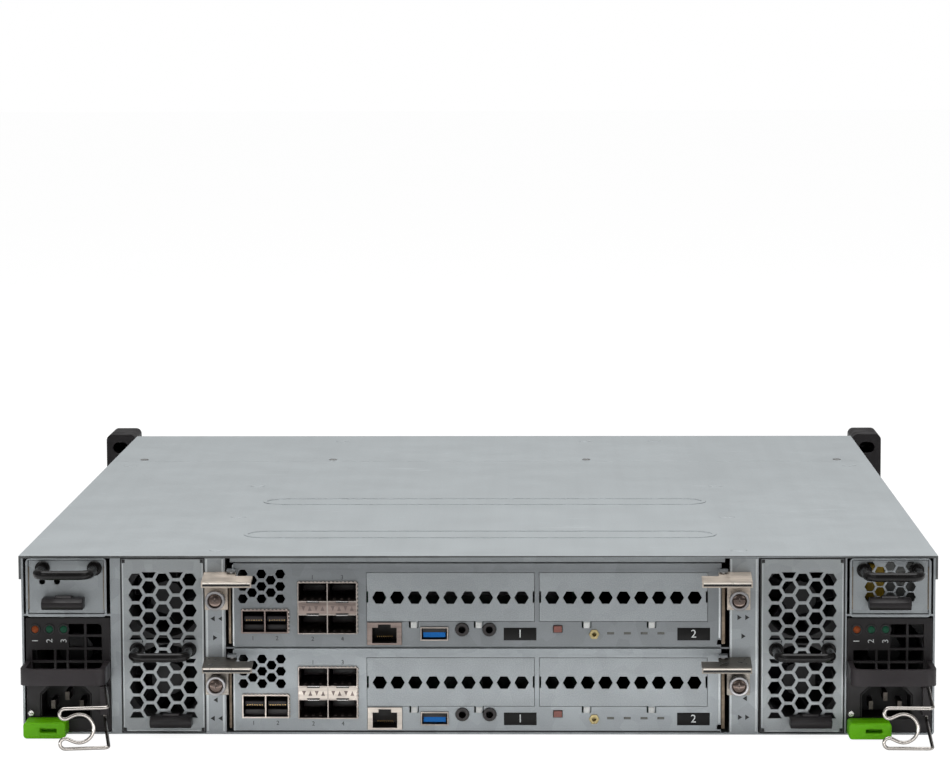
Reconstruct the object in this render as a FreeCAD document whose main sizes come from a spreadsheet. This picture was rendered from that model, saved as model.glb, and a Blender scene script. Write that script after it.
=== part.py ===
import FreeCAD, Part
import math
import os
import Sketcher
from FreeCAD import Placement, Rotation, Vector

# Disk shelf enclosure, 2U, dual controllers, dual power supplies, dual fan modules.
# Millimetres. +Z is up, the drives face +Y, the connectors and module handles face -Y.
# The origin is the middle of the underside of the chassis.

doc = FreeCAD.newDocument("disk_shelf")
sheet = doc.addObject("Spreadsheet::Sheet", "Sizes")

SIZES = [
    # chassis shell
    ("body_wide", 447, "over the top cover"),
    ("body_tall", 88, "two rack units less a running gap"),
    ("body_deep", 500, "rear plane to front plane"),
    ("base_gauge", 1.0, "base tray sheet"),
    ("base_bend", 1.6, "outer bend radius of the base tray"),
    ("cover_gauge", 1.2, "top cover sheet"),
    ("cover_deep", 372, "removable cover, rear edge to seam"),
    ("cover_screw", 4.8, "cover screw head, across"),
    ("screw_proud", 0.5, "cover screw head over the roof"),
    ("cover_skirt", 11.5, "side skirt of the cover"),
    ("seam_gap", 0.4, "gap between cover and fixed roof"),
    ("lip_wide", 240.6, "down-turned rear lip of the cover"),
    ("lip_tall", 3.1, "height of that lip"),
    ("rib_long", 239, "raised outline on the cover"),
    ("rib_wide", 25, "width of that outline"),
    ("rib_line", 2.0, "width of its raised line"),
    ("rib_rise", 0.4, "height of its raised line"),
    ("rib_first", 72, "first outline from the rear edge"),
    ("rib_second", 195, "second outline from the rear edge"),
    ("slide_gap", 0.3, "running gap round everything that slides"),
    # rack ears
    ("ear_span", 482.6, "over both rack ears"),
    ("ear_rise", 2.4, "ear above the cover"),
    ("ear_foot", 0.4, "ear above the underside"),
    ("ear_back", 12, "ear behind the front plane"),
    ("ear_ahead", 24, "ear ahead of the front plane"),
    ("ear_round", 3.5, "corner radius of the ears"),
    ("rack_pitch_wide", 465.1, "rack hole spacing across"),
    ("rack_pitch_tall", 76.2, "rack hole spacing up"),
    ("rack_hole", 6.8, "rack slot, height"),
    ("rack_slot", 2.8, "rack slot, wider than high by"),
    ("ear_screw", 3.2, "fixing screw seen in the ear's back"),
    ("ear_screw_deep", 3, "pocket of that screw"),
    ("ear_screw_in", 3.5, "that screw from the chassis side"),
    ("ear_screw_down", 12, "that screw below the ear's top"),
    # bays
    ("midplane_place", 66, "rear face of the midplane board"),
    ("midplane_gauge", 3.2, "midplane board"),
    ("connector_deep", 9.6, "midplane connectors"),
    ("frame_gauge", 1.0, "bay frame sheet"),
    ("channel_wide", 5.4, "left blank channel"),
    ("wall_right_gauge", 1.2, "right bay wall"),
    ("column_left_wide", 10.2, "left screw column"),
    ("column_left_gap", 0.4, "left screw column to its fan module"),
    ("column_right_gap", 1.4, "right screw column to its fan module"),
    ("rim_wide", 1.4, "rim round a small module bay"),
    ("rim_round", 2.0, "corner radius of that rim"),
    ("rim_proud", 0.8, "that rim ahead of the rear plane"),
    ("shelf_gauge", 0.8, "shelf between the controllers"),
    ("psu_shelf_gauge", 1.0, "shelf over the power supplies"),
    ("fan_bay_deep", 99, "rear plane to the fan bay bulkhead"),
    ("plate_wide", 3.0, "width of the bulkhead's border"),
    # controllers
    ("canister_gap", 4.1, "controller face to the screw column"),
    ("canister_inset", 1.2, "controller housing in from its face's edge"),
    ("canister_tall", 41.2, "controller face"),
    ("canister_body_tall", 40.2, "controller housing behind the face"),
    ("canister_gauge", 1.0, "controller sheet"),
    ("upper_seat", 43.2, "underside of the upper controller"),
    ("flange_tall", 2.3, "folded strip along the controller's top edge"),
    ("flange_proud", 0.8, "how far the strip stands out"),
    ("vent_flats", 4.35, "small vent hexagon across flats"),
    ("vent_first", 114.2, "first vent column, left of centre"),
    ("vent_pitch", 4.58, "vent column pitch"),
    ("vent_top", 35.9, "top vent row above the controller's underside"),
    ("vent_step", 6.1, "vent row pitch"),
    ("slot_low", 12.5, "slot windows above the controller's underside"),
    ("slot_high", 36.7, "top of the slot windows"),
    ("slot_one", 54.0, "first slot window, left of centre"),
    ("slot_wide", 82.0, "slot window"),
    ("slot_pitch", 84.1, "from slot window to slot window"),
    ("slot_gap", 0.2, "gap round a slot blank"),
    ("slot_hex", 6.1, "slot blank hexagon across flats"),
    ("slot_hex_pitch", 8.65, "slot hexagon pitch"),
    ("slot_hex_first", 6.2, "first hexagon from the blank's left edge"),
    ("slot_hex_high", 24.3, "hexagon row above the controller's underside"),
    ("slot_notch_wide", 0.8, "notch in the blank's side edge"),
    ("slot_notch_tall", 5.6, "height of that notch"),
    ("slot_clip", 3.4, "clip tab under the blank"),
    ("slot_clip_first", 21.4, "first clip tab from the blank's left edge"),
    ("slot_clip_pitch", 31.6, "from clip tab to clip tab"),
    ("slot_clip_tall", 2.8, "clip tab"),
    ("slot_clip_gap", 0.6, "gap beside a clip tab"),
    ("notch_wide", 2.0, "notch at the face's lower right corner"),
    ("notch_low", 1.2, "that notch above the controller's underside"),
    ("notch_tall", 2.4, "height of that notch"),
    ("notch_deep", 7, "depth of that notch"),
    ("port_fit", 0.1, "gap round a port in the face"),
    ("lug_wide", 4.2, "hinge lug of the ejector lever"),
    ("lug_deep", 4.4, "hinge lug ahead of the face"),
    # controller ports, heights above the controller's underside
    ("sas_left", 115.0, "expansion port cage, left of centre"),
    ("sas_wide", 23.1, "expansion port cage"),
    ("sas_low", 6.7, "underside of that cage"),
    ("sas_tall", 11.7, "height of that cage"),
    ("sas_wall", 0.7, "wall of that cage"),
    ("sas_deep", 34, "depth of that cage"),
    ("sas_tongue_deep", 14, "plug reach before the inner connector"),
    ("sfp_left", 87.5, "optical port cage, left of centre"),
    ("sfp_wide", 29.1, "optical port cage"),
    ("sfp_low", 6.4, "underside of that cage"),
    ("sfp_tall", 25.6, "height of that cage"),
    ("sfp_wall", 0.5, "wall of that cage"),
    ("sfp_mouth", 8.8, "height of one port mouth"),
    ("sfp_deep", 50, "depth of that cage"),
    ("cage_proud", 0.8, "cages ahead of the controller face"),
    ("rj_left", 53.6, "network port, left of centre"),
    ("rj_wide", 16.8, "network port"),
    ("rj_low", 1.1, "underside of the network port"),
    ("rj_tall", 11.0, "height of the network port"),
    ("rj_mouth_wide", 12.0, "network port mouth"),
    ("rj_mouth_tall", 7.6, "network port mouth"),
    ("rj_key_wide", 6.2, "latch key of that mouth"),
    ("rj_key_tall", 1.6, "latch key of that mouth"),
    ("rj_deep", 15.6, "depth of the network port"),
    ("usb_left", 27.7, "USB port, left of centre"),
    ("usb_wide", 13.6, "USB port"),
    ("usb_low", 3.2, "underside of the USB port"),
    ("usb_tall", 6.7, "height of the USB port"),
    ("usb_shell", 0.6, "shell of the USB port"),
    ("usb_tongue", 3.6, "thickness of its tongue"),
    ("usb_tongue_gap", 0.8, "beside its tongue"),
    ("usb_tongue_back", 0.5, "its tongue behind the face"),
    ("usb_deep", 14, "depth of the USB port"),
    ("jack_first", 7.4, "first jack, left of centre"),
    ("jack_second", 5.9, "second jack, right of centre"),
    ("jack_high", 8.6, "jack centre above the controller's underside"),
    ("jack_wide", 6.5, "jack collar"),
    ("jack_proud", 1.2, "jack collar ahead of the face"),
    ("jack_bore", 3.6, "jack bore"),
    ("jack_deep", 12, "jack barrel behind the face"),
    ("mute_place", 39.2, "mute button, right of centre"),
    ("mute_high", 8.9, "mute button centre"),
    ("mute_wide", 4.0, "mute button"),
    ("mute_tall", 3.0, "mute button"),
    ("mute_travel", 1.0, "mute button travel"),
    ("mute_stem", 1.6, "stem of the mute button"),
    ("mute_cap", 4, "mute button behind the face"),
    ("nut_place", 56.9, "brass hexagon, right of centre"),
    ("nut_high", 6.3, "brass hexagon centre"),
    ("nut_bore", 2.2, "thread of the hexagonal nut"),
    ("nut_flats", 4.4, "brass hexagon across flats"),
    ("led_first", 64.9, "first light pipe, right of centre"),
    ("led_pitch", 8.15, "light pipe pitch"),
    ("led_high", 6.8, "light pipe centre"),
    ("led_wide", 3.4, "light pipe"),
    ("led_tall", 1.2, "light pipe"),
    # controller board
    ("board_low", 4.4, "board underside above the controller's underside"),
    ("board_gauge", 1.6, "controller board"),
    ("board_wide", 224, "controller board"),
    ("board_start", 16.4, "rear plane to the board's edge"),
    ("board_clear", 14, "board's edge to the housing's end"),
    ("sink_start", 120, "rear plane to the heat sink"),
    ("memory_start", 96, "rear plane to the memory modules"),
    ("chip_wide", 26, "bridge chip"),
    ("chip_tall", 3, "bridge chip"),
    ("chip_place", 70, "bridge chip, left of centre"),
    ("chip_start", 60, "rear plane to the bridge chip"),
    ("plug_place", 60, "inner connectors, from the centre"),
    ("plug_wide", 44, "inner connector"),
    ("plug_low", 8, "inner connector above the controller's underside"),
    ("plug_tall", 14, "inner connector"),
    ("plug_room", 1, "room round an inner connector"),
    ("plug_deep", 20, "inner connector on the board"),
    ("plug_back", 1.5, "that connector inside the housing's end"),
    ("sink_wide", 78, "heat sink"),
    ("sink_deep", 84, "heat sink"),
    ("sink_tall", 25, "heat sink over the board"),
    ("sink_base", 4, "heat sink base"),
    ("fin_gauge", 1.2, "heat sink fin"),
    ("fin_count", 15, "heat sink fins"),
    ("memory_long", 133, "memory module"),
    ("memory_tall", 30, "memory module over the board"),
    ("memory_gauge", 3.2, "memory module"),
    ("memory_pitch", 9.5, "memory module pitch"),
    # ejector levers
    ("pivot_out", 0.9, "lever pin outward of the controller face"),
    ("lever_pin", 2.0, "lever pin diameter"),
    ("lug_rise", 0.4, "hinge lug over the lever"),
    ("lug_gauge", 1.2, "hinge lug"),
    ("lever_eye", 2.4, "lever metal inward of its pin"),
    ("lever_fit", 0.08, "radial fit of the lever on its pin"),
    ("lever_long", 24.2, "length of the grip"),
    ("lever_out", 10.2, "grip outward of the screw column's inner edge"),
    ("lever_back", 0.4, "lever ahead of the rear plane"),
    ("lever_high", 37.0, "top of the grip above the controller's underside"),
    ("lever_gauge", 1.1, "lever sheet"),
    ("lever_reach", 16, "grip ahead of the rear plane"),
    ("lever_step", 7, "inner part of the grip set ahead of the rear plane"),
    ("hem_tall", 3.4, "folded front edge of the grip"),
    ("hem_slot", 0.9, "slot in the folded front edge"),
    ("hem_slot_deep", 0.6, "depth of that slot, and its ends"),
    ("tongue_wide", 11.2, "screw tab"),
    ("tongue_low", 18.5, "screw tab above the controller's underside"),
    ("cam_long", 9.0, "cam tail behind the pin"),
    ("cam_wide", 2.2, "cam tail"),
    ("cam_slot", 2.4, "height of its slot in the screw column"),
    ("cam_room", 4, "slot beyond the cam tail"),
    ("screw_inset", 4.3, "thumbscrew from the screw column's inner edge"),
    ("screw_high", 24.1, "thumbscrew above the controller's underside"),
    ("screw_head", 9.2, "thumbscrew head"),
    ("core_deep", 0.7, "recess in the screw's head"),
    ("cross_long", 3.4, "driver cross, across"),
    ("cross_wide", 0.7, "driver cross, slot"),
    ("cross_deep", 1.0, "driver cross, under the recess"),
    ("screw_core", 7.0, "driver face of the head"),
    ("screw_long", 7.6, "thumbscrew head length"),
    ("screw_shank", 3.4, "thumbscrew shank"),
    ("screw_travel", 3.6, "thumbscrew travel into the column"),
    # power supplies
    ("psu_wide", 41.2, "power supply"),
    ("psu_tall", 56.2, "power supply"),
    ("psu_left_gap", 0.9, "left power supply to the chassis side"),
    ("psu_gauge", 1.0, "power supply sheet"),
    ("psu_bezel", 3.0, "thickness of its moulded bezel"),
    ("psu_round", 0.8, "corner radius of its bezel"),
    ("psu_core_gap", 8, "power supply fan to its electronics"),
    ("psu_core_share", 0.8, "height of the electronics, share of the case"),
    ("psu_screw", 3.0, "screw in the bezel"),
    ("psu_screw_place", 2.1, "that screw from the left edge"),
    ("psu_screw_high", 9.1, "that screw above the underside"),
    ("psu_handle_low", 27.0, "handle band above the underside"),
    ("psu_handle_tall", 8.0, "handle band"),
    ("psu_handle_reach", 24.0, "handle ahead of the bezel"),
    ("psu_handle_thick", 2.6, "handle band"),
    ("psu_handle_bend", 5.0, "handle corner radius"),
    ("inlet_left", 6.8, "inlet recess from the supply's left edge"),
    ("inlet_wide", 24.8, "inlet recess"),
    ("inlet_low", 6.8, "inlet recess above the underside"),
    ("inlet_tall", 16.8, "inlet recess"),
    ("inlet_corner", 5.2, "chamfered top corners of the recess"),
    ("inlet_deep", 17, "inlet recess"),
    ("inlet_wall", 0.6, "wall of the recess in the bezel"),
    ("inlet_cup", 1.6, "wall of the cup behind the bezel"),
    ("pin_wide", 2.0, "inlet blade"),
    ("pin_tall", 4.0, "inlet blade"),
    ("pin_pitch", 7.0, "inlet outer blades from the middle"),
    ("pin_back", 5.0, "inlet blades behind the bezel's face"),
    ("pin_low", 12.4, "outer blades above the underside"),
    ("pin_high", 16.6, "middle blade above the underside"),
    ("tab_wide", 20.6, "release tab"),
    ("tab_tall", 8.0, "release tab"),
    ("tab_reach", 14, "release tab ahead of the bezel"),
    ("tab_hang", 0.9, "release tab below the supply's underside"),
    ("tab_round", 1.8, "corner radius of the release tab"),
    ("tab_stem", 10, "stem of the release tab, across"),
    ("tab_stem_low", 2.5, "that stem above the supply's underside"),
    ("tab_stem_tall", 1.6, "height of that stem"),
    ("tab_stem_long", 12, "that stem behind the bezel's face"),
    ("tab_travel", 2.5, "release tab sideways travel"),
    ("tab_slot_wide", 8.1, "slot in the release tab"),
    ("tab_slot_tall", 1.9, "slot in the release tab"),
    ("tab_slot_deep", 6, "slot in the release tab"),
    ("bail_wire", 1.7, "retaining wire diameter"),
    ("bail_place", 38.4, "wire hinge from the supply's left edge"),
    ("bail_top", 25.1, "upper leg above the supply's underside"),
    ("bail_low", 6.8, "lower leg above the supply's underside"),
    ("bail_long", 45, "legs ahead of the bezel"),
    ("bail_drop", 4.6, "fall of the legs over their length"),
    ("bail_pivot_ahead", 2.6, "wire hinge axis ahead of the bezel"),
    ("bail_reach", 20.6, "front wires from leg to hook"),
    ("bail_hook", 2.5, "radius of the end hooks"),
    ("bail_saddle", 6.9, "radius of the plug saddle"),
    ("bail_front_tall", 19.4, "between the two front wires"),
    ("bail_slope", 26, "slope of the wire from hook to saddle, degrees"),
    ("bail_corner", 2.4, "bend radius of the wire"),
    ("bail_left_turn", 9.5, "left wire swung out, degrees"),
    ("bail_right_turn", -2, "right wire swung in, degrees"),
    ("bail_fit", 0.1, "radial fit of the wire in its lug"),
    ("bail_stub", 4.5, "end of the wire from the lug's middle"),
    ("bail_lug", 4, "lug of the wire hinge, across"),
    ("bail_lug_end", 2.2, "lug shorter than the wire hinge, at each end"),
    ("grid_right", 37.1, "guard cells, right edge"),
    ("grid_top", 53.2, "guard cells, top edge"),
    ("grid_row", 5.2, "height of a guard cell"),
    ("grid_web", 1.2, "bar between guard cells"),
    ("grid_one", 7.4, "guard cell, first from the right"),
    ("grid_two", 7.6, "guard cell, second from the right"),
    ("grid_three", 4.9, "guard cell, third from the right"),
    ("grid_four", 10.6, "guard cell, fourth from the right"),
    ("psu_led", 3.6, "status light"),
    ("lens_proud", 0.3, "status light ahead of the bezel"),
    ("psu_led_first", 4.6, "first status light from the left edge"),
    ("psu_led_pitch", 7.0, "status light pitch"),
    ("psu_led_high", 50.6, "status lights above the underside"),
    ("psu_fan_start", 22, "bezel plane to the power supply fan"),
    # fan modules
    ("fan_wide", 39.9, "fan module"),
    ("fan_tall", 85.1, "fan module"),
    ("fan_deep", 96, "fan module"),
    ("fan_gauge", 1.0, "fan module sheet"),
    ("grille_flats", 6.05, "grille hexagon across flats"),
    ("grille_web", 1.55, "web between the grille hexagons"),
    ("grille_low", 6.7, "grille window above the module's underside"),
    ("grille_high", 78.7, "top of the grille window"),
    ("grille_first", 6.7, "first grille column from the module's left edge"),
    ("grille_top", 75.0, "top row of the odd columns"),
    ("boss_low", 36.0, "solid strip behind the handle feet"),
    ("boss_high", 45.3, "top of that strip"),
    ("boss_wide", 9.6, "solid strip from the module's edge"),
    ("rotor_wide", 34.6, "fan rotor over the blades"),
    ("rotor_hub", 17, "fan hub"),
    ("rotor_long", 16, "fan rotor"),
    ("rotor_shaft", 2.4, "fan shaft"),
    ("fan_start", 14, "face of the module to its fans"),
    ("fan_pitch", 40.5, "from fan to fan"),
    ("fan_low", 22.3, "lower fan centre above the module's underside"),
    ("blade_count", 5, "blades of a rotor"),
    ("blade_gauge", 1.3, "blade"),
    ("blade_pitch", 38, "blade turned out of the axis, degrees"),
    ("frame_bore_gap", 0.9, "blade tip to fan frame"),
    ("fan_frame_deep", 28, "fan frame"),
    ("motor_proud", 1.5, "motor base in front of the strut"),
    ("fan_spider", 3, "motor base and struts of a fan"),
    ("fan_plug_wide", 18, "plug of a fan module"),
    ("fan_plug_tall", 9, "plug of a fan module"),
    ("fan_plug_deep", 5, "plug of a fan module"),
    ("fan_plug_in", 1, "that plug in from the module's end"),
    # wire handles
    ("handle_rod", 4.5, "handle rod"),
    ("handle_pitch", 25.4, "between the handle's legs"),
    ("handle_reach", 25, "handle ahead of its face"),
    ("handle_bend", 5.2, "centre line radius of the handle's corners"),
    ("handle_boss", 7.2, "collar at the handle's foot"),
    ("handle_foot", 1.6, "thickness of that collar"),
    # latches of the fan and small modules
    ("latch_wide", 20.2, "module latch"),
    ("latch_tall", 5.4, "module latch"),
    ("latch_reach", 10, "module latch ahead of its face"),
    ("latch_travel", 1.6, "module latch upward travel"),
    ("latch_bevel", 1.6, "sloping front of the latch"),
    ("latch_bump", 1.0, "thumb bump of the latch"),
    ("latch_bump_in", 6, "thumb bump in from the latch's ends"),
    ("latch_stem", 8, "stem of the latch, across"),
    ("latch_stem_tall", 2, "stem of the latch"),
    ("latch_stem_long", 7, "stem of the latch behind the face"),
    ("latch_room", 0.4, "hole round the latch's stem"),
    ("fan_latch_in", 16, "latch from the fan module's right edge"),
    ("fan_latch_high", 6.0, "that latch above the module's underside"),
    ("small_latch_high", 5.6, "latch above the small module's underside"),
    # small modules
    ("small_wide", 36.6, "small upper module"),
    ("small_tall", 26.0, "small upper module"),
    ("small_left_in", 1.8, "left small module in from the supply's left edge"),
    ("small_right_in", 2.4, "right small module in from the supply's left edge"),
    ("small_seat", 59.8, "underside of the small modules"),
    ("small_gauge", 1.0, "small module sheet"),
    ("small_core", 14, "face of the small module to its electronics"),
    ("small_hole", 3.1, "round holes in the left small module"),
    ("small_hole_first", 6.6, "first round hole from the left edge"),
    ("small_hole_pitch", 7.2, "between the round holes"),
    ("small_hole_high", 15.6, "round holes above the underside"),
    ("small_hex_top", 23.2, "top row of the right module's hexagons"),
    ("left_handle_high", 22.2, "left module's handle above the underside"),
    ("right_handle_high", 21.3, "right module's handle above the underside"),
    ("left_handle_off", 1.3, "left module's handle right of its middle"),
    ("right_handle_off", -0.1, "right module's handle right of its middle"),
    ("left_latch_off", -1.0, "left module's latch right of its middle"),
    ("right_latch_off", -0.6, "right module's latch right of its middle"),
    ("small_flats", 4.5, "hexagons of the right small module"),
    ("small_pitch", 4.93, "their column pitch"),
    ("small_step", 5.05, "their row pitch"),
    # drives
    ("tray_columns", 4, "drive trays across"),
    ("tray_rows", 3, "drive trays up"),
    ("cage_gauge", 1.1, "drive cage sheet"),
    ("cage_start", 84, "drive cage, rear edge"),
    ("cage_front", 2.0, "drive cage behind the front plane"),
    ("tray_gap", 0.4, "gap round a drive tray"),
    ("bezel_gap", 0.5, "gap between tray bezels"),
    ("bezel_thick", 5, "tray bezel"),
    ("rail_tall", 16, "tray side rail"),
    ("drive_wide", 101.6, "3.5-inch drive"),
    ("drive_tall", 25.4, "3.5-inch drive"),
    ("drive_long", 147, "3.5-inch drive"),
    ("tray_lever_tall", 15, "tray lever"),
    ("tray_lever_thick", 4.5, "tray lever"),
    ("tray_button", 9, "tray release button"),
    ("tray_lever_low", 1.5, "tray lever over the bezel's lower edge"),
    ("tray_lever_in", 2, "tray lever in from the bezel's side"),
    ("tray_lever_ramp", 8, "sloping end of the tray lever"),
    ("tray_button_gap", 0.5, "tray lever to its button"),
    ("tray_slot_wide", 15, "air slot in the tray bezel"),
    ("tray_slot_tall", 3, "air slot in the tray bezel"),
    ("tray_slot_down", 3.2, "air slots below the bezel's upper edge"),
    ("tray_slot_first", 6.5, "first air slot from the bezel's side"),
    ("tray_slot_pitch", 19.5, "between the air slots"),
]


class Length:
    """A size with its value now and the sheet expression that keeps it bound."""

    def __init__(self, number, text):
        self.number = float(number)
        self.text = text

    def _join(self, other, sign, number):
        return Length(number, f"({self.text} {sign} {as_length(other).text})")

    def __add__(self, other):
        return self._join(other, "+", self.number + as_length(other).number)

    def __radd__(self, other):
        return as_length(other) + self

    def __sub__(self, other):
        return self._join(other, "-", self.number - as_length(other).number)

    def __rsub__(self, other):
        return as_length(other) - self

    def __mul__(self, other):
        return self._join(other, "*", self.number * as_length(other).number)

    def __rmul__(self, other):
        return self * other

    def __truediv__(self, other):
        return self._join(other, "/", self.number / as_length(other).number)

    def __neg__(self):
        return self * -1

    def __float__(self):
        return self.number


def as_length(item):
    """Numbers such as a count or a half are taken as they are."""
    if isinstance(item, Length):
        return item
    return Length(item, repr(float(item)))


class Sheet:
    """The driving sizes, read back from the spreadsheet by their alias."""


size = Sheet()
for row, (alias, number, note) in enumerate(SIZES, start=1):
    sheet.set(f"A{row}", alias)
    sheet.set(f"B{row}", str(number))
    sheet.set(f"C{row}", note)
    sheet.setAlias(f"B{row}", alias)
doc.recompute()
for alias, number, note in SIZES:
    setattr(size, alias, Length(sheet.get(alias), f"Sizes.{alias}"))


# ---------------------------------------------------------------- building blocks

nodes = []


def bind(item, prop, length):
    """Tie one property of an object to the sheet."""
    item.setExpression(prop, as_length(length).text)


def add(kind, label):
    item = doc.addObject(kind, label)
    item.Label = label
    return item


def node(item):
    """Name a finished sub-part, so that it is written out."""
    nodes.append(item)
    return item


def place(item, x=0, y=0, z=0):
    bind(item, "Placement.Base.x", x)
    bind(item, "Placement.Base.y", y)
    bind(item, "Placement.Base.z", z)
    return item


def box(label, x, y, z):
    """A block between two values on each axis."""
    item = add("Part::Box", label)
    for prop, (low, high) in zip(("Length", "Width", "Height"), (x, y, z)):
        bind(item, prop, as_length(high) - low)
    return place(item, x[0], y[0], z[0])


def rod_y(label, x, z, start, end, radius):
    """A round bar along Y."""
    item = add("Part::Cylinder", label)
    item.Placement = Placement(Vector(), Rotation(Vector(1, 0, 0), -90))
    bind(item, "Radius", radius)
    bind(item, "Height", as_length(end) - start)
    return place(item, x, start, z)


def rod_z(label, x, y, start, end, radius):
    """A round bar along Z."""
    item = add("Part::Cylinder", label)
    bind(item, "Radius", radius)
    bind(item, "Height", as_length(end) - start)
    return place(item, x, y, start)


def bar_y(label, x, z, start, end, radius, sides):
    """A bar of regular section along Y, with its corners on the radius."""
    item = add("Part::Prism", label)
    item.Polygon = sides
    item.Placement = Placement(Vector(), Rotation(Vector(1, 0, 0), -90))
    bind(item, "Circumradius", radius)
    bind(item, "Height", as_length(end) - start)
    return place(item, x, start, z)


def hex_y(label, x, z, start, end, flats):
    """A hexagonal bar along Y, flats up and down."""
    return bar_y(label, x, z, start, end, as_length(flats) / math.sqrt(3), 6)


def group(label, items):
    item = add("Part::Compound", label)
    item.Links = items
    return item


def fuse(label, items):
    item = add("Part::MultiFuse", label)
    item.Shapes = items
    item.Refine = True
    return item


def cut(label, base, tools):
    item = add("Part::Cut", label)
    item.Base = base
    item.Tool = tools[0] if len(tools) == 1 else group(label + "_cutters", tools)
    item.Refine = True
    return item


def common(label, base, tool):
    item = add("Part::Common", label)
    item.Base = base
    item.Tool = tool
    return item


def line(start, end):
    return ("line", start, end, None, None)


def arc(start, end, centre, radius):
    """An arc that runs anticlockwise from start to end."""
    return ("arc", start, end, centre, radius)


def polygon(points):
    return [line(p, q) for p, q in zip(points, points[1:] + points[:1])]


def rectangle(x, y):
    return polygon([(x[0], y[0]), (x[1], y[0]), (x[1], y[1]), (x[0], y[1])])


def rounded(x, y, radius):
    """A rectangle with four round corners."""
    (x0, x1), (y0, y1) = x, y
    left, right = x0 + radius, x1 - radius
    low, high = y0 + radius, y1 - radius
    return [
        line((left, y0), (right, y0)),
        arc((right, y0), (x1, low), (right, low), radius),
        line((x1, low), (x1, high)),
        arc((x1, high), (right, y1), (right, high), radius),
        line((right, y1), (left, y1)),
        arc((left, y1), (x0, high), (left, high), radius),
        line((x0, high), (x0, low)),
        arc((x0, low), (left, y0), (left, low), radius),
    ]


def stadium(x, y):
    """A bar with round ends, lying along its first axis."""
    (x0, x1), (y0, y1) = x, y
    radius = (y1 - y0) / 2
    left, right, middle = x0 + radius, x1 - radius, y0 + radius
    return [
        line((left, y0), (right, y0)),
        arc((right, y0), (right, y1), (right, middle), radius),
        line((right, y1), (left, y1)),
        arc((left, y1), (left, y0), (left, middle), radius),
    ]


def circle(x, y, radius):
    return [("circle", (x, y), None, None, radius)]


def regular(x, y, radius, sides):
    """Regular outline whose flats lie on the radius, for small round holes."""
    outer = as_length(radius) / math.cos(math.pi / sides)
    angles = [2 * math.pi * (step + 0.5) / sides for step in range(sides)]
    return polygon([(outer * math.cos(angle) + x, outer * math.sin(angle) + y) for angle in angles])


def vector(point):
    return Vector(float(point[0]), float(point[1]), 0)


def curve(piece):
    """The line, arc or circle of one step of a loop."""
    kind, start, end, centre, radius = piece
    if kind == "circle":
        return Part.Circle(vector(start), Vector(0, 0, 1), float(radius))
    if kind == "line":
        return Part.LineSegment(vector(start), vector(end))
    middle = vector(centre)
    angles = [math.atan2(p.y - middle.y, p.x - middle.x) for p in (vector(start), vector(end))]
    return Part.ArcOfCircle(Part.Circle(middle, Vector(0, 0, 1), float(radius)), angles[0], angles[1])


def dimensions(loop, first):
    """Where a loop's corners, centres and radii lie: (kind, names, length) for each."""
    if loop[0][0] == "circle":
        kind, start, end, centre, radius = loop[0]
        return [("DistanceX", (-1, 1, first, 3), start[0]),
                ("DistanceY", (-1, 1, first, 3), start[1]), ("Radius", (first,), radius)]
    found = []
    for step, (kind, start, end, centre, radius) in enumerate(loop):
        here = first + step
        found.append(("DistanceX", (-1, 1, here, 1), start[0]))
        found.append(("DistanceY", (-1, 1, here, 1), start[1]))
        if kind == "arc":
            found.append(("DistanceX", (-1, 1, here, 3), centre[0]))
    return found


def draw(sketch, loops):
    """Add closed loops, with every corner and centre bound to the sheet."""
    curves, rules, lengths = [], [], []
    for loop in loops:
        first = len(curves)
        curves += [curve(piece) for piece in loop]
        if len(loop) > 1:
            for step in range(len(loop)):
                following = first + (step + 1) % len(loop)
                rules.append(Sketcher.Constraint("Coincident", first + step, 2, following, 1))
        for kind, names, length in dimensions(loop, first):
            lengths.append((len(rules), as_length(length)))
            rules.append(Sketcher.Constraint(kind, *names, float(length)))
    sketch.addGeometry(curves, False)
    sketch.addConstraint(rules)
    for index, length in lengths:
        sketch.setExpression(f"Constraints[{index}]", length.text)


PLANES = {"plan": "XY_Plane", "rear": "XZ_Plane", "side": "YZ_Plane"}


def profile(body, plane, level, loops):
    """A sketch on one of the body's own planes, moved along its normal to a level."""
    sketch = body.newObject("Sketcher::SketchObject", body.Label + "_outline")
    role = PLANES[plane]
    flat = [f for f in body.Origin.OriginFeatures if f.Role == role][0]
    sketch.AttachmentSupport = (flat, [""])
    sketch.MapMode = "FlatFace"
    level = -as_length(level) if plane == "rear" else as_length(level)
    bind(sketch, "AttachmentOffset.Base.z", level)
    draw(sketch, loops)
    return sketch


def pad(body, plane, start, end, loops):
    """Material from start to end, both measured along the frame's own axis."""
    item = body.newObject("PartDesign::Pad", body.Label + "_pad")
    item.Profile = profile(body, plane, start, loops)
    item.Reversed = plane == "rear"
    bind(item, "Length", as_length(end) - start)
    body.Tip = item
    return item


def pocket(body, plane, start, end, loops):
    """A hollow from start to end, both measured along the frame's own axis."""
    item = body.newObject("PartDesign::Pocket", body.Label + "_pocket")
    item.Profile = profile(body, plane, start, loops)
    item.Reversed = plane != "rear"
    bind(item, "Length", as_length(end) - start)
    body.Tip = item
    return item


def new_body(label):
    return add("PartDesign::Body", label)


def mirrored(side, low, high):
    """A stretch to the right of centre, or its mirror image on the left."""
    if side > 0:
        return as_length(low), as_length(high)
    return -as_length(high), -as_length(low)


# ---------------------------------------------------------------- shared places

rear = -size.body_deep / 2
front = size.body_deep / 2
half = size.body_wide / 2
roof = size.body_tall - size.cover_gauge
side_outer = half - size.cover_gauge
side_inner = side_outer - size.base_gauge
floor = size.base_gauge
module_end = size.midplane_place - size.connector_deep - size.slide_gap
lower_seat = floor + size.slide_gap

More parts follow.
